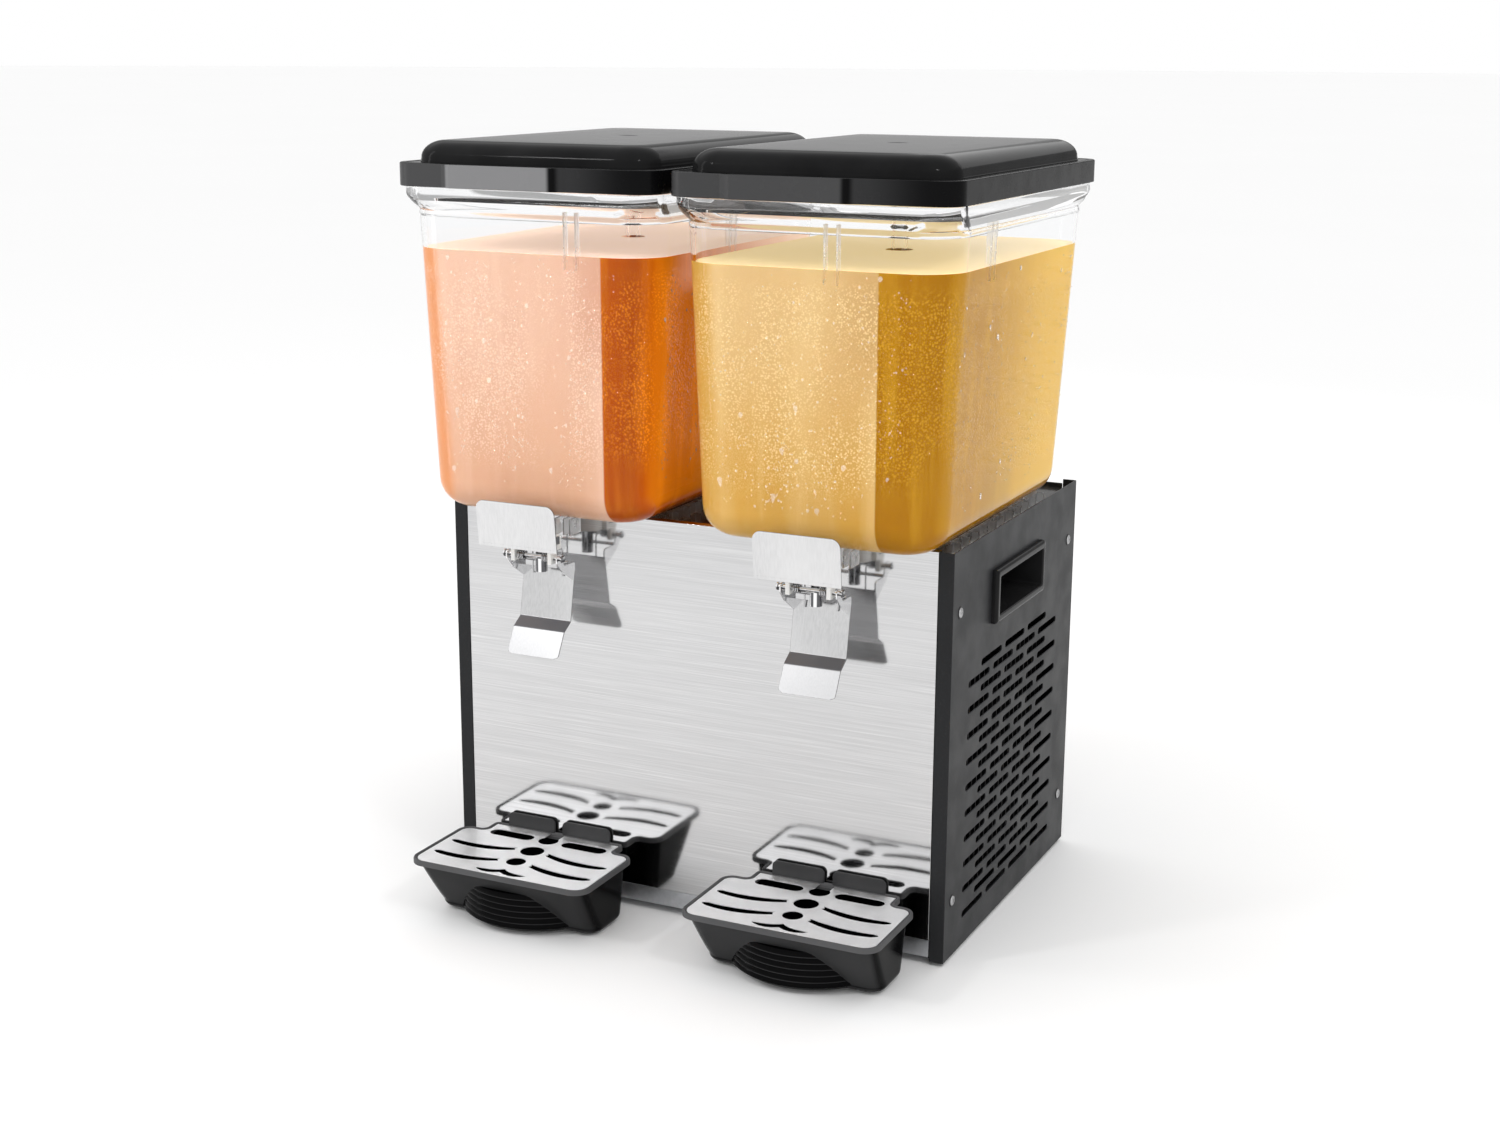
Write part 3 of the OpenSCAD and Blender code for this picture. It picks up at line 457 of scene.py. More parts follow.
MATERIALS = {
    "galvanised": metal("galvanised sheet", (0.5, 0.51, 0.53), 0.34, (1, 1, 1), 60, 0.00005, 0.2),
    "front_steel": brushed_front(),
    "powder_coat": powder_coat(),
    "deck_black": plastic("gloss black deck", (0.02, 0.018, 0.016), 0.12, 300, 0.00003),
    "polished_steel": metal("polished stainless", (0.80, 0.80, 0.805), 0.10, (1, 1, 0.05), 500, 0.00001,
                            0.05),
    "plate_steel": bright_steel("polished cover plate", "Y", (0.93, 0.5)),
    "lever_steel": bright_steel("polished lever", "X", (0.4, 0.9), 0.16, (0.19, 0.19, 0.2)),
    "chrome": chrome(),
    "screw_steel": metal("dull screw steel", (0.44, 0.44, 0.445), 0.34, (1, 1, 1), 700, 0.00002),
    "grille_steel": metal("satin stainless grille", (0.95, 0.95, 0.955), 0.45, (1, 1, 1), 350, 0.000001,
                          0.03),
    "black_plastic": plastic("black moulded plastic", (0.0035, 0.0035, 0.0038), 0.16, 1100, 0.00001,
                             shine=0.06),
    "tray_plastic": tray_plastic(),
    "rim_plastic": plastic("textured black rim", (0.062, 0.062, 0.064), 0.5, 1300, 0.00012, shine=0.15),
    "hook_plastic": plastic("satin hook plastic", (0.024, 0.024, 0.025), 0.4, 1100, 0.00006, shine=0.2),
    "lid_black": plastic("gloss black lid", (0.002, 0.002, 0.0023), 0.09, 60, 0.00002, shine=0.035),
    "left_lid_rim": lid_rim("left", 0.2, 0.06),
    "right_lid_rim": lid_rim("right", 0.055, 0.05),
    "clear_plastic": clear_plastic("clear polycarbonate"),
    "tank_plastic": clear_plastic("cold tank polycarbonate", 1.2, wet=True),
    "lip_plastic": clear_plastic("clear tank lip", 1.34),
    "frosted_plastic": clear_plastic("frosted polycarbonate", 1.45, haze=0.24),
    "water": water(),
    "white_plastic": plastic("white moulded plastic", (0.78, 0.78, 0.76), 0.35, 500, 0.00004, 0.05),
    "rubber": plastic("black rubber", (0.022, 0.022, 0.022), 0.75, 1400, 0.0002),
    "silicone": plastic("white silicone", (0.74, 0.74, 0.71), 0.55, 700, 0.00008, 0.05),
    "compressor_black": plastic("black enamel", (0.014, 0.014, 0.015), 0.22, 120, 0.0001, coat=0.6),
    "motor_grey": plastic("grey motor paint", (0.24, 0.25, 0.26), 0.45, 500, 0.0001),
    # The fins are near black: partly a black coating, partly painted shade for the inside of the panels'
    # slots
    "fin_aluminium": metal("black fins and slot shade", (0.035, 0.035, 0.036), 0.4, (1, 1, 0.05), 300, 0.00003),
    "copper": metal("drawn copper", (0.74, 0.42, 0.27), 0.25, (1, 0.05, 1), 400, 0.00003, 0.2),
    "foam": plastic("rigid foam", (0.75, 0.68, 0.46), 0.85, 260, 0.0006, 0.1),
    "key_green": plastic("green key", (0.003, 0.15, 0.04), 0.25, 900, 0.00002, shine=0.3),
    "ferrite": plastic("sintered ferrite", (0.07, 0.07, 0.073), 0.65, 600, 0.0002),
    # The left drink's flank gets a stronger painted glow, to light it where it lies in shade between the
    # tanks
    "left_drink": drink("peach drink", "left", front=(0.74, 0.48, 0.35), foot=(0.68, 0.40, 0.26),
                        band=(0.40, 0.07, 0.0), flank=(0.92, 0.33, 0.012), back=(0.86, 0.60, 0.45),
                        top=(0.86, 0.62, 0.48), glow=0.7),
    "right_drink": drink("orange drink", "right", front=(0.68, 0.46, 0.21), foot=(0.59, 0.33, 0.065),
                         band=(0.37, 0.155, 0.0), flank=(0.78, 0.45, 0.028), back=(0.80, 0.48, 0.04),
                         top=(0.84, 0.64, 0.32), glow=0.15),
}
BEVELLED_NODES = ("front_panel", "top_deck", "base_pan", "control_box", "power_inlet")
CHROME_NODES = {f"{side}_{part}" for side in SIDES for part in ("nozzle", "plunger", "lever_pin")}


# ---- mesh building ----

class Piece:
    """Collects closed bodies in machine millimetres and turns them into one mesh piece."""

    def __init__(self):
        self.verts = []
        self.faces = []
        self.spots = []
        self.material = 0

    def face(self, ids):
        self.faces.append(tuple(ids))
        self.spots.append(self.material)

    def add(self, verts, faces):
        base = len(self.verts)
        self.verts += [Vector(v) for v in verts]
        for f in faces:
            self.face(i + base for i in f)

    def loft(self, rings, wrap=False):
        """Skin over rings of equal length; wrap joins the last one to the first, else both are capped."""
        count, base = len(rings[0]), len(self.verts)
        for points in rings:
            self.verts += [Vector(p) for p in points]
        for i in range(len(rings) if wrap else len(rings) - 1):
            a, b = base + i * count, base + (i + 1) % len(rings) * count
            for k in range(count):
                j = (k + 1) % count
                self.face((a + k, a + j, b + j, b + k))
        if not wrap:
            self.face(reversed(range(base, base + count)))
            self.face(range(len(self.verts) - count, len(self.verts)))

    def tube(self, path, radius, sides):
        """Round wire along a path of points."""
        pts = [Vector(p) for p in path]
        rings, side = [], None
        for i, p in enumerate(pts):
            along = (pts[min(i + 1, len(pts) - 1)] - pts[max(i - 1, 0)]).normalized()
            if side is None:
                side = along.orthogonal().normalized()
            side = (side - along * side.dot(along)).normalized()
            up = along.cross(side)
            rings.append([p + radius * (side * math.cos(a) + up * math.sin(a)) for a in turns(sides)])
        self.loft(rings)

    def lathe(self, profile, centre=(0, 0, 0), axis=(0, 0, 1), sides=48):
        """Solid of revolution from (radius, height) points along an axis through centre."""
        turn = Vector((0, 0, 1)).rotation_difference(Vector(axis))
        self.loft([[Vector(centre) + turn @ Vector((r * math.cos(a), r * math.sin(a), h))
                    for a in turns(sides)] for r, h in profile])

    def slab(self, outline, z0, z1, edge, steps=3):
        """Upright prism over an outline of (x, y), with edges rounded by edge."""
        angles = [math.pi / 2 * k / steps for k in range(steps + 1)]
        lower = [(1 - math.sin(a), z0 + edge * (1 - math.cos(a))) for a in angles]
        upper = [(1 - math.cos(a), z1 - edge * (1 - math.sin(a))) for a in angles]
        self.loft([level(shrink(outline, edge * share), z) for share, z in lower + upper])

    def box(self, low, high, edge):
        """Block with rounded edges between two opposite corners, in any order along X."""
        x0, x1 = sorted((low[0], high[0]))
        self.slab(rectangle(x0, x1, low[1], high[1], edge, 3), low[2], high[2], edge)

    def merge(self, other, matrix=Matrix.Identity(4)):
        base = len(self.verts)
        self.verts += [matrix @ v for v in other.verts]
        for f, spot in zip(other.faces, other.spots):
            self.faces.append(tuple(i + base for i in f))
            self.spots.append(spot)

    def make(self, name, body, materials, slot=None, replaces=(), angle=32):
        """The mesh object, shaded smooth up to an angle, on its body and in place of CAD nodes."""
        mesh = bpy.data.meshes.new(name)
        mesh.from_pydata([place(v) for v in self.verts], [], self.faces)
        for face, spot in zip(mesh.polygons, self.spots):
            face.material_index = spot
        for material in materials:
            mesh.materials.append(MATERIALS[material])
        obj = bpy.data.objects.new(name, mesh)
        bpy.context.scene.collection.objects.link(obj)
        clean(mesh)
        mesh.shade_smooth()
        mesh.set_sharp_from_angle(angle=math.radians(angle))
        obj.modifiers.new("even shading", "WEIGHTED_NORMAL").keep_sharp = True
        mesh = settled(obj)
        obj.modifiers.clear()
        obj.data = mesh
        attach(obj, body)
        if replaces:
            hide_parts(*replaces)
        return obj


def clean(mesh):
    bm = bmesh.new()
    bm.from_mesh(mesh)
    bmesh.ops.remove_doubles(bm, verts=bm.verts, dist=1e-7)
    bmesh.ops.recalc_face_normals(bm, faces=bm.faces)
    bm.to_mesh(mesh)
    bm.free()


def settled(obj):
    """The object's mesh with its modifiers applied."""
    graph = bpy.context.evaluated_depsgraph_get()
    return bpy.data.meshes.new_from_object(obj.evaluated_get(graph))


def turns(sides):
    """Angles of evenly spaced points round a full turn."""
    return [math.tau * k / sides for k in range(sides)]


def fillet(corners, steps=6):
    """Closed outline through (x, y, radius) corners, each rounded to its radius."""
    out = []
    for i, (x, y, r) in enumerate(corners):
        p = Vector((x, y))
        if r <= 0:
            out.append(p)
            continue
        u = (Vector(corners[i - 1][:2]) - p).normalized()
        v = (Vector(corners[(i + 1) % len(corners)][:2]) - p).normalized()
        half = u.angle(v) / 2
        centre = p + (u + v).normalized() * (r / math.sin(half))
        start, end = p + u * (r / math.tan(half)) - centre, p + v * (r / math.tan(half)) - centre
        turn = start.angle_signed(end)
        for k in range(steps + 1):
            a = -turn * k / steps
            out.append(centre + Vector((start.x * math.cos(a) - start.y * math.sin(a),
                                        start.x * math.sin(a) + start.y * math.cos(a))))
    return out


def winding(outline):
    """1 for a counter-clockwise outline and -1 for a clockwise one."""
    area = sum(outline[i - 1].x * p.y - p.x * outline[i - 1].y for i, p in enumerate(outline))
    return 1 if area > 0 else -1


def shrink(outline, inset):
    """The outline moved inwards by inset, point for point."""
    if not inset:
        return outline
    sign, n = winding(outline), len(outline)
    out = []
    for i, p in enumerate(outline):
        a, b = (p - outline[i - 1]), (outline[(i + 1) % n] - p)
        if a.length < 1e-9 or b.length < 1e-9:
            a = b = outline[(i + 1) % n] - outline[i - 1]
        a, b = a.normalized(), b.normalized()
        na, nb = Vector((-a.y, a.x)) * sign, Vector((-b.y, b.x)) * sign
        mid = (na + nb).normalized()
        out.append(p + mid * (inset / max(0.35, mid.dot(na))))
    return out


def ring(size, z, grow=0.0):
    """Rounded rectangle (half width, front, back, corner radius) at height z, always as many points."""
    arc, run = 10, 8
    hw, y0, y1, r = size
    hw, y0, y1, r = hw + grow, y0 - grow, y1 + grow, max(r + grow, 0.5)
    corners = [(hw - r, y1 - r, 0), (-hw + r, y1 - r, 90), (-hw + r, y0 + r, 180), (hw - r, y0 + r, 270)]
    pts = []
    for i, (cx, cy, start) in enumerate(corners):
        for k in range(arc + 1):
            a = math.radians(start + 90 * k / arc)
            pts.append(Vector((cx + r * math.cos(a), cy + r * math.sin(a), z)))
        nx, ny, turn = corners[(i + 1) % 4]
        a = math.radians(turn)
        last, goal = pts[-1], Vector((nx + r * math.cos(a), ny + r * math.sin(a), z))
        pts += [last.lerp(goal, k / run) for k in range(1, run)]
    return pts


def round_ring(radius, z, like):
    """Circle about the cold well at height z, with a point in the direction of each point of like."""
    centre = Vector((0, WELL_Y, 0))
    ways = [Vector((p.x, p.y - WELL_Y, 0)).normalized() for p in like]
    return [centre + way * radius + Vector((0, 0, z)) for way in ways]


def shifted(rings, x):
    return [[p + Vector((x, 0, 0)) for p in points] for points in rings]


def level(outline, z, x=0):
    """The (x, y) outline as points at height z, moved by x."""
    return [(p.x + x, p.y, z) for p in outline]


def cut_sheet(outer, holes, thick, edge, matrix, material=0):
    """Flat sheet with holes and rounded edges, as a Piece; matrix stands it up from the XY plane."""
    curve = bpy.data.curves.new("outline", "CURVE")
    curve.dimensions = "2D"
    curve.fill_mode = "BOTH"
    curve.extrude = thick / 2 - edge
    curve.bevel_depth = edge
    curve.bevel_resolution = 1
    curve.offset = -edge
    for outline in [outer] + holes:
        if (winding(outline) > 0) != (outline is outer):
            outline = outline[::-1]
        spline = curve.splines.new("POLY")
        spline.points.add(len(outline) - 1)
        for point, p in zip(spline.points, outline):
            point.co = (p.x, p.y, 0, 1)
        spline.use_cyclic_u = True
    obj = bpy.data.objects.new("outline", curve)
    bpy.context.scene.collection.objects.link(obj)
    mesh = settled(obj)
    piece = Piece()
    piece.material = material
    piece.add([matrix @ v.co for v in mesh.vertices], [tuple(f.vertices) for f in mesh.polygons])
    bpy.data.objects.remove(obj)
    bpy.data.curves.remove(curve)
    bpy.data.meshes.remove(mesh)
    return piece


def rectangle(x0, x1, y0, y1, r, steps):
    """Outline of a rectangle with rounded corners."""
    return fillet([(x0, y0, r), (x1, y0, r), (x1, y1, r), (x0, y1, r)], steps)


def standing(where, direction):
    """Matrix that moves a piece to a place and turns its Z to a direction."""
    turn = Vector((0, 0, 1)).rotation_difference(Vector(direction))
    return Matrix.Translation(where) @ turn.to_matrix().to_4x4()


def facing_x(x):
    """Matrix that stands a sheet drawn in (y, z) up at x."""
    return Matrix(((0, 0, 1, x), (1, 0, 0, 0), (0, 1, 0, 0), (0, 0, 0, 1)))


def facing_y(y, x=0):
    """Matrix that stands a sheet drawn in (x, z) up at y, moved by x."""
    return Matrix(((1, 0, 0, x), (0, 0, 1, y), (0, 1, 0, 0), (0, 0, 0, 1)))


def slot_outline(x, y, length, width, steps=6):
    """Slot with round ends about (x, y), along X."""
    r, half = width / 2, (length - width) / 2
    right = [Vector((x + half + r * math.cos(a), y + r * math.sin(a)))
             for a in (math.radians(-90 + 180 * k / steps) for k in range(steps + 1))]
    return right + [Vector((2 * x - p.x, 2 * y - p.y)) for p in right]


def circle_outline(x, y, r, steps=32):
    return [Vector((x + r * math.cos(a), y + r * math.sin(a))) for a in turns(steps)]


# ---- tanks and their drink ----

def wall_size(z):
    """Size of the tank's outside at height z on its tapered wall."""
    return blend(TANK_LOW, TANK_TOP, (z - FLOOR_Z - FLOOR_R) / (NECK_Z - FLOOR_Z - FLOOR_R))


def tank_rings(inset, top):
    """Rings up the tank's wall from its floor, inset by the wall thickness or not."""
    r = FLOOR_R - inset
    rings = [ring(TANK_LOW, FLOOR_Z + inset + r * (1 - math.cos(a)), -inset - r * (1 - math.sin(a)))
             for a in (math.radians(10 * k) for k in range(10))]
    return rings + [ring(wall_size(z), z, -inset) for z in (430, 480, 530, 570, 600, top) if z <= top]


def tank_shell(side):
    """Clear tank: rounded floor with the well's opening, tapered wall, flared neck and a lip."""
    x = centre_x(f"{side}_lid")
    top = NECK_Z - 5
    outer, inner = tank_rings(0, top), tank_rings(WALL, top)
    # Neck: a small bead, then the flare up to the lip, with one ridge
    neck = [(0, 0, 0.0), (1.2, 0, 0.5), (3, 0, 0.7), (4.4, 0, 0.2), (6, 0.04, 0.0), (9, 0.35, 0.0),
            (12, 0.62, 0.0), (16, 0.9, 0.0), (18.5, 1, 0.0), (24.4, 1, 0.0), (25, 1, -0.5)]
    lip = [(RIM_Z, -3), (645.4, -3.2), (646, -3.8), (646, -5.4), (645.4, -6), (636, -5.4), (627, -4)]
    rings = [round_ring(WELL_HOLE_R, FLOOR_Z, outer[0])] + outer
    rings += [ring(blend(TANK_TOP, TANK_LIP, flare), top + dz, out - 0.2) for dz, flare, out in neck]
    rings += [ring(TANK_LIP, z, out) for z, out in lip] + [ring(TANK_TOP, NECK_Z, -WALL)]
    rings += inner[::-1] + [round_ring(WELL_HOLE_R, FLOOR_Z + WALL, inner[0])]
    tank = Piece()
    tank.loft(shifted(rings, x), wrap=True)
    tank.spots = [int(min(tank.verts[v].z for v in face) > NECK_Z - 8) for face in tank.faces]
    tank.material = 2
    tank_ribs(tank, side, x)
    tank_skirt(tank, x)
    tank_spout(tank, centre_x(f"{side}_nozzle"))
    shell = tank.make(f"{side}_tank_shell", f"{side}_tank_set",
                      ["tank_plastic", "lip_plastic", "frosted_plastic"], "clear_plastic", [f"{side}_tank"],
                      angle=40)
    shell.visible_shadow = False


def tank_ribs(tank, side, x):
    """Pairs of clear ribs that hang from the lip on the inside of the front and the right wall."""
    front = TANK_TOP[1] + WALL - 0.6
    right = x + TANK_TOP[0] - WALL + 0.6
    rib_x, rib_y = x + FRONT_RIB[side], WALL_RIB[side]
    for s in (-5.5, 5.5):
        tank.box((rib_x + s - 1, front - 1, 574), (rib_x + s + 1, front + 5, 622), 0.7)
        tank.box((right - 5, rib_y + s - 1, 574), (right + 1, rib_y + s + 1, 622), 0.7)


def tank_skirt(tank, x):
    """Foot under the tank's floor: a rounded wall with upright ribs, which stands on the deck."""
    outer, low, high = (97, 10, 270, 24), 350.2, 360.5
    tank.loft(shifted([ring(outer, z, out) for z, out in ((low, 0), (high, 0), (high, -3), (low, -3))], x),
              wrap=True)
    for s in (-1, 1):
        for y in range(30, 260, 22):
            tank.box((x + s * 97, y - 1, 350.6), (x + s * 103, y + 1, high), 0.4)
    for dx in range(-76, 77, 19):
        tank.box((x + dx - 1, 3, 350.6), (x + dx + 1, 11, high), 0.4)


def tank_spout(tank, x):
    """Short outlet pipe in front of the skirt, with small ribs beside it."""
    low, high = 342.2, 361
    tank.lathe([(8.2, low), (11.6, low), (12, low + 0.6), (12, high), (8.2, high), (8.2, low)], (x, -40, 0))
    for dx in (-21, -15, 17, 25, 31):
        tank.box((x + dx - 0.8, -44, 347), (x + dx + 0.8, -26, 361.5), 0.5)


def drink_body(side):
    """The drink, from the floor to its level, with the well, pump and riser standing in it."""
    skin, hole = WALL - 0.25, WELL_HOLE_R + 0.4
    outer, top = tank_rings(skin, DRINK_Z), wall_size(DRINK_Z)
    # The level climbs a little at the wall and round the riser
    edge = ((0.9, 0.05), (0.6, 1.2), (0, 4))
    rings = outer + [ring(top, DRINK_Z + up, -skin - inset) for up, inset in edge]
    channel = [(40, DRINK_Z), (13, DRINK_Z), (11.7, DRINK_Z + 0.6), (11.7, 502), (7.2, 496), (7.2, 458),
               (34, 444.5), (57, 427), (57.5, 412), (hole, 380), (hole, FLOOR_Z + skin)]
    rings += [round_ring(r, z, outer[0]) for r, z in channel]
    body = Piece()
    body.loft(shifted(rings, centre_x(f"{side}_lid")), wrap=True)
    body.make(f"{side}_drink", f"{side}_tank_set", [f"{side}_drink"], angle=50)


def bead(piece, centre, normal, size, length):
    """One drop of water, flattened onto the wall and drawn out downwards."""
    turn = Vector((0, 0, 1)).rotation_difference(normal)
    down = Vector((0, 0, -1))
    down = (down - normal * down.dot(normal)).normalized()
    drawn = min(length, 1.0)
    lean = Vector((math.sin(centre.z * 3), 0, 0)) * size * 0.5 * drawn
    rings = []
    for share, height in ((1.0, -0.04), (0.98, 0.14), (0.8, 0.42), (0.42, 0.62)):
        pts = []
        for a in turns(8 if size < 1.2 else 14):
            flat = turn @ Vector((math.cos(a) * size * share, math.sin(a) * size * share, 0))
            fall = max(0.0, flat.dot(down))
            narrow = 1 - 0.45 * min(1.0, fall / size) * drawn
            pts.append(centre + flat * narrow + lean * fall / size + down * fall * length
                       + normal * height * size * 0.6)
        rings.append(pts)
    piece.loft(rings)


def bead_size(rnd):
    """Radius of a bead, how far it is drawn out, and whether it is one of the few large drops."""
    kind = rnd.random()
    size, length = 0.45 + 0.35 * rnd.random(), 0.2 * rnd.random()
    if kind > 0.993:
        size, length = 1.4 + 0.9 * rnd.random(), 0.4 + 2.0 * rnd.random() ** 2
    elif kind > 0.92:
        size, length = 0.8 + 0.5 * rnd.random(), 0.8 * rnd.random()
    return size, length, kind > 0.993


def wall_spot(wall, x, u, z):
    """Point, normal and place along one of the tank's walls, for u from -1 to 1 across it."""
    hw, y0, y1, r = wall_size(z)
    if wall in ("front", "back"):
        sign = -1 if wall == "front" else 1
        along = u * (hw - r * 0.75)
        return Vector((x + along, y0 if sign < 0 else y1, z)), Vector((0, sign, -0.015)).normalized(), along
    sign = 1 if wall == "flank" else -1
    along = (y0 + y1) / 2 + u * ((y1 - y0) / 2 - r * 0.8)
    return Vector((x + sign * hw, along, z)), Vector((sign, 0, -0.047)).normalized(), along


def share_kept(seed, u, z):
    """Share of beads kept at a place, so that they lie in upright bands and patches."""
    band = noise.noise(Vector((u * 0.045, seed, z * 0.006)))
    patch = noise.noise(Vector((u * 0.02, seed + 9, z * 0.02)))
    return 0.32 + 1.1 * band + 0.5 * patch


def condensation(side, seed):
    """Beads of water on the tank's outside below the drink's level, with drops that have run."""
    rnd = random.Random(seed)
    x = centre_x(f"{side}_lid")
    piece = Piece()
    for wall, count in (("front", 1352), ("flank", 780), ("far", 260), ("back", 208)):
        for _ in range(count):
            z, u = rnd.uniform(FLOOR_Z + 30, DRINK_Z - 3), rnd.uniform(-1, 1)
            size, length, large = bead_size(rnd)
            point, normal, along = wall_spot(wall, x, u, z)
            if rnd.random() < share_kept(seed, along + 400 * len(wall), z) or large:
                bead(piece, point + normal * 0.03, normal, size, length)
    drops = piece.make(f"{side}_condensation", f"{side}_tank_set", ["water"], angle=60)
    drops.visible_shadow = False


# ---- lids ----

def lid_cover(side):
    """Crowned lid: a gloss crown with a large rounded edge on a satin rim that steps out in front."""
    x = centre_x(f"{side}_lid")
    z0, z1, edge, half, front, back = 638, 658, 1.1, 125, -59, 310
    step = fillet([(-half, back, 20), (-half, front, 20), (-74, front, 3), (-64, front - 5, 3),
                   (36, front - 5, 3), (46, front, 3), (half, front, 20), (half, back, 20)], 8)
    step = [p + Vector((x, 0)) for p in step]
    rim = [(z0 + 0.2, 3.2), (z0 + 0.2, edge), (z0 + 0.5, 0.35), (z0 + edge, 0.05), (z1 - edge, 0.05),
           (z1 - 0.4, 0.35), (z1, edge), (z1, 6), (z1 - 2.2, 6), (z1 - 2.2, 3.2)]
    lid = Piece()
    lid.material = 1
    lid.loft([level(shrink(step, inset), z) for z, inset in rim], wrap=True)
    lid.material = 0
    top, rise, roll, plan = z1 + 18, 15, 21, (half, front, back, 40)
    rings = [ring(plan, z1 - 2, -10), ring(plan, z1 + 0.6, -10), ring(plan, z1 + 1.6, -10.3)]
    for a in (math.radians(9 * k) for k in range(11)):
        rings.append(ring(plan, top - rise + rise * math.sin(a), -10.6 - roll * (1 - math.cos(a))))
    rings.append(ring(plan, top, -10.6 - roll - 30))
    # Small oval vent in the middle of the crown
    for radius, z in ((22, top), (16, top), (13.5, top - 0.05), (12.6, top - 0.4), (12, top - 3)):
        circle = round_ring(radius, z, rings[0])
        rings.append([Vector((p.x * 0.7, 132 + (p.y - WELL_Y) * 0.26, z)) for p in circle])
    lid.loft(shifted(rings, x))
    flat = (half, front, back, 20)
    lid.loft(shifted([ring(flat, z1 - 2.2, -3.5), ring(flat, z1 - 0.2, -3.5)], x))
    lid.make(f"{side}_lid_cover", f"{side}_lid_set", ["lid_black", f"{side}_lid_rim"], "lid_black",
             [f"{side}_lid"], angle=35)


# ---- faucets ----

def bent_strip(path, half, thick, corner=0.0):
    """Strip of sheet, as a Piece, bent over (y, z) points, with the corners at its far end rounded."""
    rings, last, edge = [], len(path) - 1, thick * 0.28
    for i, p in enumerate(path):
        along = (path[min(i + 1, last)] - path[max(i - 1, 0)]).normalized()
        out = Vector((along.y, -along.x)) * thick / 2
        left = sum((path[k + 1] - path[k]).length for k in range(i, last))
        w = half
        if left < corner:
            w -= corner - math.sqrt(max(0.0, corner ** 2 - (corner - left) ** 2))
        section = [(-w, -0.5), (-w + edge, -1), (w - edge, -1), (w, -0.5), (w, 0.5), (w - edge, 1),
                   (-w + edge, 1), (-w, 0.5)]
        rings.append([(x, p.x + out.x * s, p.y + out.y * s) for x, s in section])
    piece = Piece()
    piece.loft(rings)
    return piece


def round_path(corners):
    """Open path through (y, z, radius) corners, rounded at each and split into short steps."""
    (y0, z0, _), (y1, z1, _) = corners[0], corners[-1]
    path = fillet(corners + [(y1, z1 - 400, 0), (y0 + 400, z0 + 400, 0)], 5)[:-2]
    fine = []
    for a, b in zip(path, path[1:]):
        steps = max(1, int((b - a).length / 1.5))
        fine += [a.lerp(b, k / steps) for k in range(steps)]
    return fine + path[-1:]


def lever(side):
    """Push lever: a bright strip with a rounded kick and two ears that hang on the pin."""
    x, half = middle(f"{side}_lever")
    path = round_path([(-26.4, 312, 0), (-34.4, 268, 2.2), (-45.9, 261, 2.2), (-57.6, 239.4, 0)])
    blade = Piece()
    blade.merge(bent_strip(path, half, 1.2, corner=4), Matrix.Translation((x, 0, 0)))
    ear = fillet([(-28.4, 303, 0), (-26, 310, 1), (-26, 320, 2.5), (-44.5, 320, 2), (-48, 331.5, 3.4),
                  (-56.6, 331.5, 3.4), (-56.6, 324.5, 3), (-47.5, 315, 3)], 5)
    eye = circle_outline(PIN_Y, PIN_Z, 2.1, 20)
    for s in (-1, 1):
        blade.merge(cut_sheet(ear, [eye], 1.2, 0.25, facing_x(x + s * (half - 0.6)), 1))
    blade.make(f"{side}_push_lever", f"{side}_lever_set", ["lever_steel", "polished_steel"],
               "polished_steel", [f"{side}_lever"], angle=40)


def cover(side):
    """Bright plate in front of the faucet, with rounded upper corners and two arms behind it."""
    node = f"{side}_cover_plate"
    low, high = span(node)
    x, half = middle(node)
    z0, tall, lean, front = low.z, high.z - low.z, 4.5, -77
    outline = fillet([(-half, 0, 1.5), (half, 0, 1.5), (half, tall, 8), (-half, tall, 8)], 8)
    tilt = Matrix(((1, 0, 0, x), (0, -lean / tall, 1, front - 0.6), (0, 1, 0, z0), (0, 0, 0, 1)))
    piece = cut_sheet(outline, [], 1.2, 0.5, tilt)
    # Hem folded back along the lower edge
    hem = [Vector((front + dy, z0 + dz)) for dy, dz in ((-1.1, 3.2), (-0.7, 1.2), (0.4, 0.7), (4.2, 0.9))]
    piece.merge(bent_strip(hem, half - 3, 1.0), Matrix.Translation((x, 0, 0)))
    for s in (-1, 1):
        arm = x + s * 20.8
        piece.box((arm - 0.6, front - 1.2, z0 + 0.2), (arm + 0.6, -44.2, z0 + 6.8), 0.3)
    piece.make(f"{side}_faucet_cover", f"{side}_tank_set", ["plate_steel"], "polished_steel", [node],
               angle=40)


def springs(side):
    """Torsion spring of round wire on the lever pin, with hooked ends beside it and a bow over it."""
    x = centre_x(f"{side}_nozzle")
    radius, wire, steps = 3.6, 0.6, 64
    piece = Piece()
    for s in (-1, 1):
        path = []
        for k in range(steps + 1):
            a = math.tau * k / 16
            path.append((x + s * (8.6 + 6.2 * k / steps), PIN_Y + radius * math.sin(a),
                         PIN_Z + radius * math.cos(a)))
        end = path[-1][0]
        path += [(end, y, z) for y, z in ((-46, 331.6), (-34, 331.6), (-30.4, 331), (-29.6, 328.4),
                                          (-29.5, 318), (-29.5, 306.4))]
        piece.tube(path, wire, 10)
    bow = [(x + 9 * math.cos(a), PIN_Y - radius * math.sin(a) * 0.4, PIN_Z + radius - 5 * math.sin(a))
           for a in (math.radians(15 * k) for k in range(13))]
    piece.tube(bow, wire, 10)
    piece.make(f"{side}_return_spring", f"{side}_tank_set", ["chrome"], "polished_steel",
               [f"{side}_lever_spring"], angle=50)


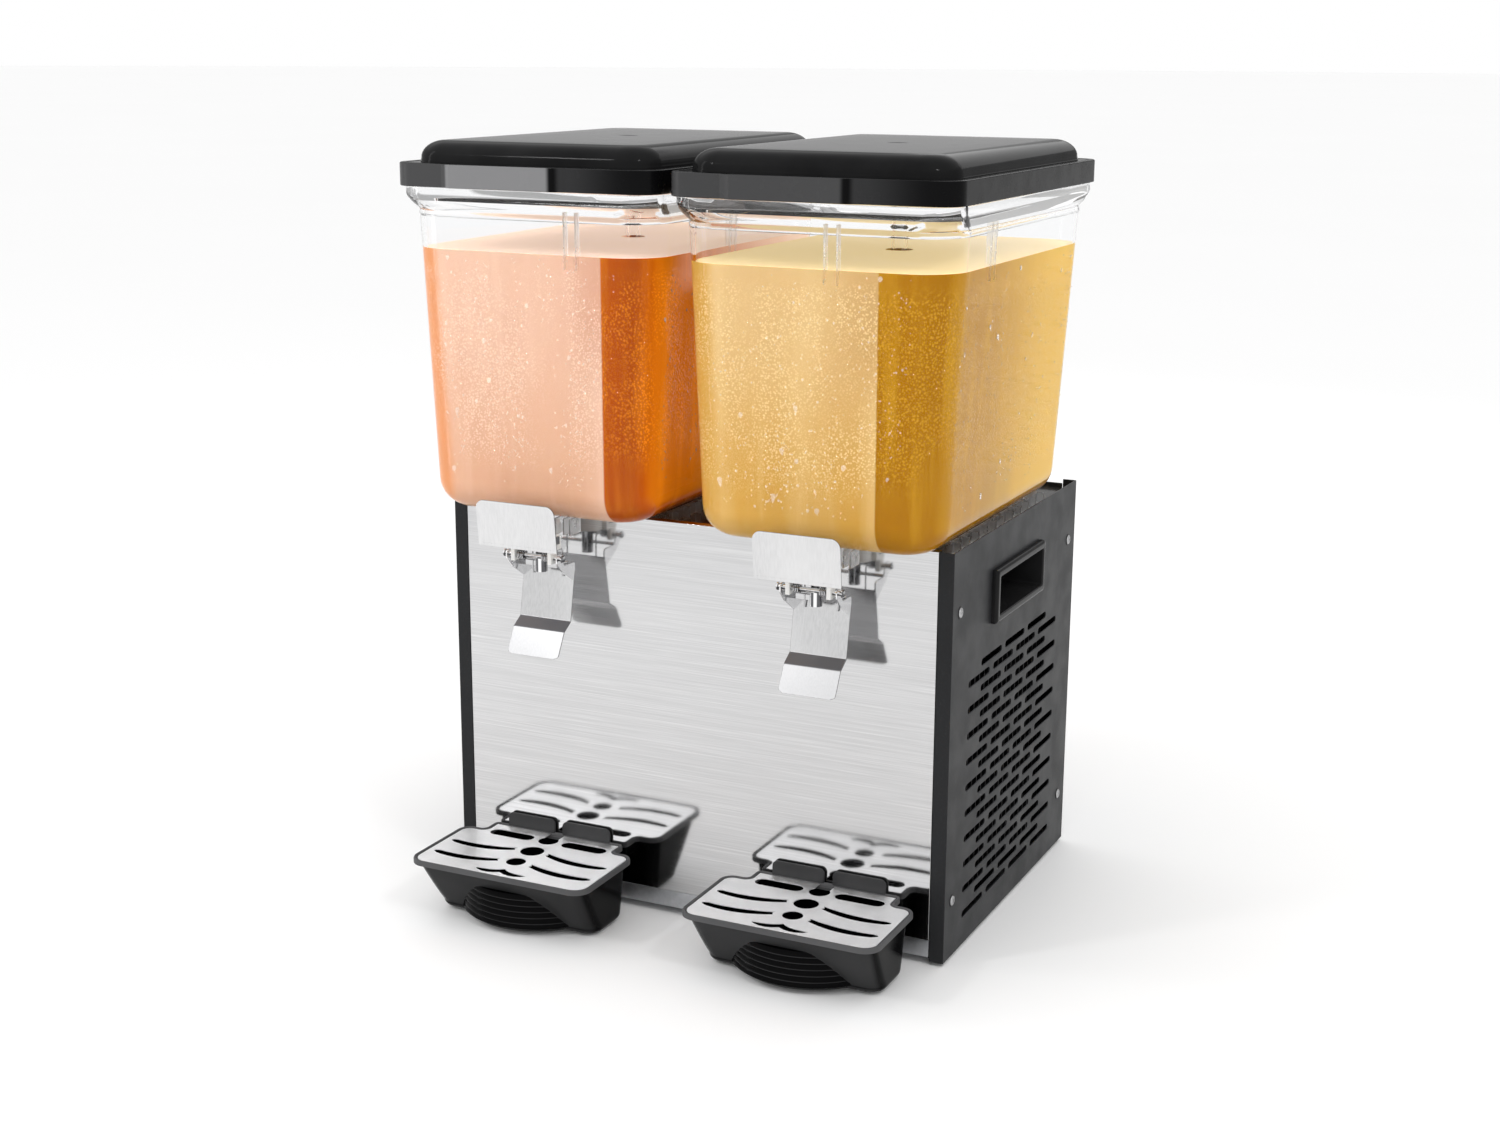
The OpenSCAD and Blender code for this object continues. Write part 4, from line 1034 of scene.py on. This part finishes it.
def pin(side):
    """Lever pin with a domed head at each end."""
    x, reach = middle(f"{side}_lever_pin")
    piece = Piece()
    piece.lathe([(0.6, -reach), (2.6, -reach + 0.3), (3.3, -reach + 1), (3.3, -reach + 1.9),
                 (2, -reach + 2.0), (2, reach - 1.9), (3.3, reach - 1.8), (3.3, reach - 1),
                 (2.6, reach - 0.3), (0.6, reach)], (x, PIN_Y, PIN_Z), (1, 0, 0), 24)
    piece.make(f"{side}_hinge_pin", f"{side}_tank_set", ["chrome"], "polished_steel",
               [f"{side}_lever_pin"], angle=35)


# ---- drip trays ----

def tray_outline(hw):
    """Plan of a tray: the wide front part and the narrower tongue at the panel."""
    reach, neck, tongue, back = -116, -22, 67, -1.5
    return fillet([(-hw, reach, 15), (hw, reach, 15), (hw, neck, 12), (tongue, neck, 5), (tongue, back, 5),
                   (-tongue, back, 5), (-tongue, neck, 5), (-hw, neck, 12)], 8)


def tub_size(z, hw):
    """Half width, front, back and corner of the tray tub's outside at height z."""
    base = (hw - 8, -81, -25, 14)
    if z < 6:
        return blend((hw - 12, -76, -30, 12), base, math.sqrt(1 - (1 - z / 6) ** 2))
    return blend(base, (hw - 4, -112, -26, 12), ((z - 6) / 47) ** 0.92)


def tray(side):
    """Black drip tray: tapered tub with a rolled rim, a ribbed boss in front and hook plates behind."""
    x, hw = middle(f"{side}_drip_tray")
    rim, brim = 56, 53
    plan = tray_outline(hw)
    roll = [(0.0, 5.0), (0.0, 1.2), (0.4, 0.35), (1.2, 0.0), (2.0, 0.3), (2.6, 1.0), (3.1, 2.4), (6.4, 2.6),
            (6.4, 5.0)]
    piece = Piece()
    piece.material = 1
    piece.loft([level(shrink(plan, inset), rim - down, x) for inset, down in roll], wrap=True)
    piece.material = 0
    heights = [0, 0.5, 1.5, 3, 4.5, 6, 12, 20, 28, 36, 44, brim]
    rings = [ring(tub_size(z, hw), z) for z in heights]
    rings += [ring(tub_size(z, hw), z + (0.2 if z == brim else 0), -2.5) for z in heights[:2:-1]]
    piece.loft(shifted(rings, x))
    tongue = fillet([(-65, -34, 4), (65, -34, 4), (65, -1.6, 5), (-65, -1.6, 5)], 5)
    sides = ((0, 4), (0, 15), (1, 16), (3, 16), (3, 4))
    piece.loft([level(shrink(tongue, inset), rim - down, x) for inset, down in sides], wrap=True)
    boss(piece, x)
    piece.material = 2
    hooks(piece, x, rim)
    piece.make(f"{side}_drip_tray_tub", f"{side}_tray", ["tray_plastic", "rim_plastic", "hook_plastic"],
               "black_plastic", [f"{side}_drip_tray"], angle=38)


def boss(piece, x):
    """Ribbed half round in the tray's front, seen below the tub's sloping face."""
    rings, rows = [], 26
    for k in range(rows + 1):
        z = 0.4 + 36 * k / rows
        groove = 0.7 if k % 4 == 2 else 0.0
        r = 71.4 - groove - 6 * max(0.0, 0.12 - k / rows) / 0.12
        pts = [(x + r * math.cos(a), -35 + r * math.sin(a), z)
               for a in (math.radians(203 + 134 * i / 40) for i in range(41))]
        rings.append(pts + [(x + r * 0.75, -62, z), (x - r * 0.75, -62, z)])
    piece.loft(rings)


def hooks(piece, x, rim):
    """Two plates at the tray's back that hook it into the panel."""
    for s in (-1, 1):
        x0, x1 = sorted((4 * s, 53 * s))
        outline = fillet([(x0, rim - 6, 1), (x1, rim - 6, 1), (x1, rim + 12, 5), (x0, rim + 12, 5)], 5)
        piece.merge(cut_sheet(outline, [], 2.5, 0.5, facing_y(-2.75, x), piece.material))
        piece.box((x + s * 10.2, -2, 57.8), (x + s * 47.8, 6.8, 60.2), 0.4)


def bowed_slot(s, low_y):
    """Slot on side s that sags to low_y, thicker in the middle, with a notched inner end."""
    r, x0, x1, steps = 98, 15.5, 79, 16
    back, front = [], []
    for k in range(steps + 1):
        x = x0 + (x1 - x0) * k / steps
        y = low_y + r - math.sqrt(r * r - (x - 56) ** 2)
        half = (3.1 + 1.3 * math.sin(math.pi * k / steps)) * (0.55 if k == steps else 1)
        back.append(Vector((s * x, y + half)))
        front.append(Vector((s * x, y - half)))
    notch, tip = (Vector((s * x, (back[i].y + front[i].y) / 2)) for i, x in ((0, x0 + 2), (-1, x1 + 1.2)))
    return back + [tip] + front[::-1] + [notch]


def moustache(y):
    """Two lobes that meet in a notch."""
    half = [(0, 0), (3, 2.6), (7, 4.6), (12, 6), (18, 6.8), (26, 7.2), (22, 10.4), (17, 12.4), (11, 12.8),
            (5.5, 11.6)]
    points = [Vector((x, y - down)) for x, down in half + [(0, 8.6)]]
    return points + [Vector((-x, y - down)) for x, down in reversed(half[1:])]


def grille(side):
    """Stainless drain plate with slots, round holes and rounded edges."""
    low, high = span(f"{side}_tray_grille")
    plan = [Vector((p.x, min(p.y, high.y))) for p in shrink(tray_outline(89), 3.6)]
    # Notch in the rear edge that opens into the first round hole
    arc = [math.radians(38 - 256 * k / 20) for k in range(21)]
    mouth = [(7, high.y), (7, -16.1)] + [(9.2 * math.cos(a), -22 + 9.2 * math.sin(a)) for a in arc]
    mouth = [Vector(p) for p in mouth + [(-7, -16.1), (-7, high.y)]]
    rear = max(range(len(plan)), key=lambda i: (plan[i].y > high.y - 0.1 and plan[i].x > 0, -plan[i].x))
    plan = plan[:rear + 1] + mouth + plan[rear + 1:]
    holes = [slot_outline(-37.5, -23, 45, 13.5), slot_outline(37.5, -23, 45, 13.5),
             circle_outline(0, -50, 10.8), circle_outline(0, -77.5, 8.8), moustache(-96)]
    holes += [bowed_slot(s, y) for s in (-1, 1) for y in (-60, -88.5)]
    lift = Matrix.Translation(((low.x + high.x) / 2, 0, high.z - 0.4))
    cut_sheet(plan, holes, 0.8, 0.2, lift).make(f"{side}_drain_plate", f"{side}_grille", ["grille_steel"],
                                                "polished_steel", [f"{side}_tray_grille"], angle=40)


# ---- cabinet ----

def side_sheet(side):
    """Side panel bent at its front and back, with its rows of slots and the handle's opening."""
    s = -1 if side == "left" else 1
    low, high = span(f"{side}_side_panel")
    skin, depth, tall = max(-low.x, high.x), high.y, high.z
    length, width, pitch, gap = 53, 6.2, 11.5, 9
    holes = []
    for row in range(20):
        odd = row % 2
        for i in range(4 - odd):
            y = 44 + length / 2 + (i + odd / 2) * (length + gap)
            holes.append(slot_outline(y, 28 + row * pitch, length, width, 5))
    holes.append(rectangle(100, 224, 279, 319, 2, 4))
    outline = rectangle(0.8, depth - 0.8, 0.2, tall, 0.6, 3)
    piece = cut_sheet(outline, holes, 1.2, 0.3, facing_x(s * (skin - 0.6)))
    for y0, y1 in ((0, 1.2), (depth - 1.2, depth)):
        piece.box((s * (skin - 13), y0, 0.1), (s * skin, y1, tall), 0.5)
    piece.box((s * (skin - 20), 1.3, 2.8), (s * (skin - 0.8), depth - 1.3, 4), 0.3)
    piece.make(f"{side}_side_sheet", "cabinet", ["powder_coat"], "powder_coat", [f"{side}_side_panel"],
               angle=40)


def rear_sheet():
    """Rear panel with its vent slots and the openings for the keys, the knob and the power inlet."""
    low, high = span("rear_panel")
    holes = [slot_outline(40 + column * 58, 60 + row * 12, 48, 4, 5) for row in range(14)
             for column in (-1, 0, 1)]
    for x, z, half, up in ((-190, 250, 8.5, 14), (-150, 250, 8.5, 14), (-190, 60, 14, 10.5)):
        holes.append(rectangle(x - half, x + half, z - up, z + up, 1, 3))
    holes.append(circle_outline(-110, 250, 4.2, 24))
    outline = rectangle(low.x, high.x, low.z, high.z, 1, 3)
    sheet = cut_sheet(outline, holes, 1.2, 0.3, facing_y(high.y - 0.6))
    sheet.make("rear_sheet", "cabinet", ["powder_coat"], "powder_coat", ["rear_panel"], angle=40)


def handle(side):
    """Recessed grip: a stepped frame round a deep cup with rounded edges."""
    s = -1 if side == "left" else 1
    low, high = span(f"{side}_handle_cup")
    skin = (low.x if s > 0 else high.x) + s * 34
    mid_y, mid_z = (low.y + high.y) / 2, (low.z + high.z) / 2
    # Half length, half height, distance out from the panel and corner radius
    sizes = [(61.5, 19.5, -33.6, 3), (61.5, 19.5, -0.1, 3), (66, 24, 0, 3), (66, 24, 2.9, 3),
             (65.4, 23.4, 4.3, 3), (64, 22, 5.3, 3), (62.8, 20.8, 5.5, 3), (59.6, 17.8, 5.5, 2.4),
             (58.9, 17.1, 5, 2.2), (58.6, 16.6, 3.9, 2), (58.5, 16.2, -31, 3), (57, 15, -31.5, 3)]
    piece = Piece()
    piece.loft([[(skin + s * out, mid_y + p.x, mid_z + p.y) for p in rectangle(-w, w, -h, h, r, 5)]
                for w, h, out, r in sizes])
    piece.make(f"{side}_grip", "cabinet", ["black_plastic"], "black_plastic", [f"{side}_handle_cup"],
               angle=40)


def cross_screw(head):
    """Pan-head screw with a cross recess, standing on Z = 0, as a Piece."""
    piece = Piece()
    piece.lathe([(0.8, -6), (1.6, -5), (1.8, 0.0), (head, 0.05), (head, 0.5), (head * 0.93, 1.0),
                 (head * 0.75, 1.35), (head * 0.62, 1.45), (head * 0.6, 0.9), (0.01, 0.9)], sides=32)
    wall = head * 0.62
    wedge = Piece()
    wedge.slab(fillet([(0.45, 0.45, 0.2), (wall, 0.45, 0.1), (wall * 0.8, wall * 0.8, 0.6),
                       (0.45, wall, 0.1)], 3), 0.85, 1.5, 0.15, 2)
    for k in range(4):
        piece.merge(wedge, Matrix.Rotation(math.radians(90 * k), 4, "Z"))
    return piece


def screws():
    """Side and rear screws; those at the sides stand on dark rings, painted shade for a recess round each
    head.
    """
    # Painted shade: a black ring under each side screw, for the shade of the recess round its head
    shade_ring = Piece()
    shade_ring.material = 1
    shade_ring.lathe([(1.9, 0), (5.6, 0), (5.6, 0.21), (5.3, 0.35), (1.9, 0.35), (1.9, 0)], sides=32)
    corner = span("right_side_panel")[1]
    sides = Piece()
    for s in (-1, 1):
        for y in (18, corner.y - 20):
            for z in (51.5, 304.5):
                stand = standing((s * corner.x, y, z), (s, 0, 0))
                sides.merge(shade_ring, stand)
                sides.merge(cross_screw(4.2), stand @ Matrix.Rotation(0.6 + y * 0.37 + z * 0.11, 4, "Z"))
    sides.make("side_screws", "cabinet", ["screw_steel", "black_plastic"], "polished_steel",
               ["side_panel_screws"], angle=35)
    low, high = span("rear_panel_screws")
    back = span("rear_panel")[1].y
    rear = Piece()
    for s in (-1, 1):
        for z in (low.z + 4, 180, high.z - 4):
            stand = standing((s * 216, back, z), (0, 1, 0))
            rear.merge(cross_screw(3.6), stand @ Matrix.Rotation(z, 4, "Z"))
    rear.make("rear_screws", "cabinet", ["screw_steel"], "polished_steel", ["rear_panel_screws"], angle=35)


def finish_cad_nodes():
    """Gives every CAD node that stays visible its material."""
    slot_of = {row["node"]: row["material_slot"] for row in frame["record"]["subparts"]}
    for name, obj in frame["nodes"].items():
        obj.data.materials.clear()
        obj.data.materials.append(MATERIALS["chrome" if name in CHROME_NODES else slot_of[name]])
        if name in BEVELLED_NODES:
            weld = obj.modifiers.new("weld", "WELD")
            weld.merge_threshold = 1e-6
            edges = obj.modifiers.new("edges", "BEVEL")
            edges.width = 0.0003
            edges.segments = 2
            edges.limit_method = "ANGLE"
            edges.angle_limit = math.radians(50)
            edges.harden_normals = True


# ---- stage ----

def floor():
    """Pale round floor, far wider than the view."""
    mesh = bpy.data.meshes.new("floor")
    sides = 96
    mesh.from_pydata(level(circle_outline(0, 0, 60, sides), 0), [], [tuple(range(sides))])
    m = Nodes("pale floor")
    m.colour(m.mix(m.noise(0.6, 2), (0.95, 0.95, 0.95), (0.97, 0.97, 0.97)))
    m.set(Roughness=0.6, Specular_IOR_Level=0.2)
    mesh.materials.append(m.material)
    obj = bpy.data.objects.new("floor", mesh)
    bpy.context.scene.collection.objects.link(obj)


def sky_tone(tree, height, stops):
    """Brightness of the surroundings over their height, from (height, brightness) stops."""
    node = tree.nodes.new("ShaderNodeValToRGB")
    tree.links.new(height, node.inputs["Fac"])
    elements = node.color_ramp.elements
    elements.remove(elements[1])
    elements[0].position, elements[0].color = 0.0, (1, 1, 1, 1)
    for position, tone in stops:
        elements.new(position).color = (tone, tone, tone, 1)
    return node.outputs["Color"]


def surroundings():
    """World light: bright all round, with a darker band close above the horizon behind the machine."""
    world = bpy.data.worlds.new("studio")
    bpy.context.scene.world = world
    world.use_nodes = True
    tree = world.node_tree
    split = tree.nodes.new("ShaderNodeSeparateXYZ")
    tree.links.new(tree.nodes.new("ShaderNodeTexCoord").outputs["Generated"], split.inputs[0])
    backward = tree.nodes.new("ShaderNodeMapRange")
    backward.inputs["From Min"].default_value = -0.2
    backward.inputs["From Max"].default_value = 0.4
    tree.links.new(split.outputs["Y"], backward.inputs["Value"])
    mix = tree.nodes.new("ShaderNodeMixRGB")
    tree.links.new(backward.outputs["Result"], mix.inputs["Fac"])
    for socket, stops in (("Color1", ((0.03, 1.0), (0.35, 1.0), (0.6, 1.12))),
                          ("Color2", ((0.021, 1.0), (0.036, 0.44), (0.34, 0.40), (0.5, 1.12)))):
        tree.links.new(sky_tone(tree, split.outputs["Z"], stops), mix.inputs[socket])
    tree.links.new(mix.outputs["Color"], tree.nodes["Background"].inputs["Color"])


def lights():
    """Rectangular lamps (name, place in metres, size, watts) that look at the machine's middle."""
    target = (CAD_BOX[0] + CAD_BOX[1]) / 2
    for name, where, size, power in (("left strip", (-1.25, -0.62, 0.78), (0.16, 1.45), 3),
                                     ("key", (-1.3, -1.8, 2.0), (0.26, 0.26), 8),
                                     ("right key", (1.7, -1.2, 2.1), (0.26, 0.26), 8),
                                     ("back", (0.3, 2.4, 1.6), (2.4, 0.8), 5)):
        light = bpy.data.lights.new(name, "AREA")
        light.shape = "RECTANGLE"
        light.size, light.size_y = size
        light.energy = power
        lamp = bpy.data.objects.new(name, light)
        lamp.location = where
        lamp.rotation_euler = (target - Vector(where)).to_track_quat("-Z", "Y").to_euler()
        bpy.context.scene.collection.objects.link(lamp)


def camera():
    """Camera at the viewing angle: 25.5 degrees to the right and 13.8 degrees above the machine."""
    data = bpy.data.cameras.new("camera")
    data.lens = 50.84
    data.sensor_width = 36
    obj = bpy.data.objects.new("camera", data)
    obj.location = place((804.1, -1570.5, 759.2))
    obj.rotation_euler = Euler((math.radians(76.16), math.radians(-0.30), math.radians(25.54)))
    bpy.context.scene.collection.objects.link(obj)
    bpy.context.scene.camera = obj
    bpy.context.scene.view_settings.view_transform = "Standard"


camera()
finish_cad_nodes()
for number, side in enumerate(SIDES):
    tank_shell(side)
    drink_body(side)
    condensation(side, 11 + number)
    lid_cover(side)
    lever(side)
    cover(side)
    springs(side)
    pin(side)
    tray(side)
    grille(side)
    side_sheet(side)
    handle(side)
rear_sheet()
screws()
floor()
surroundings()
lights()
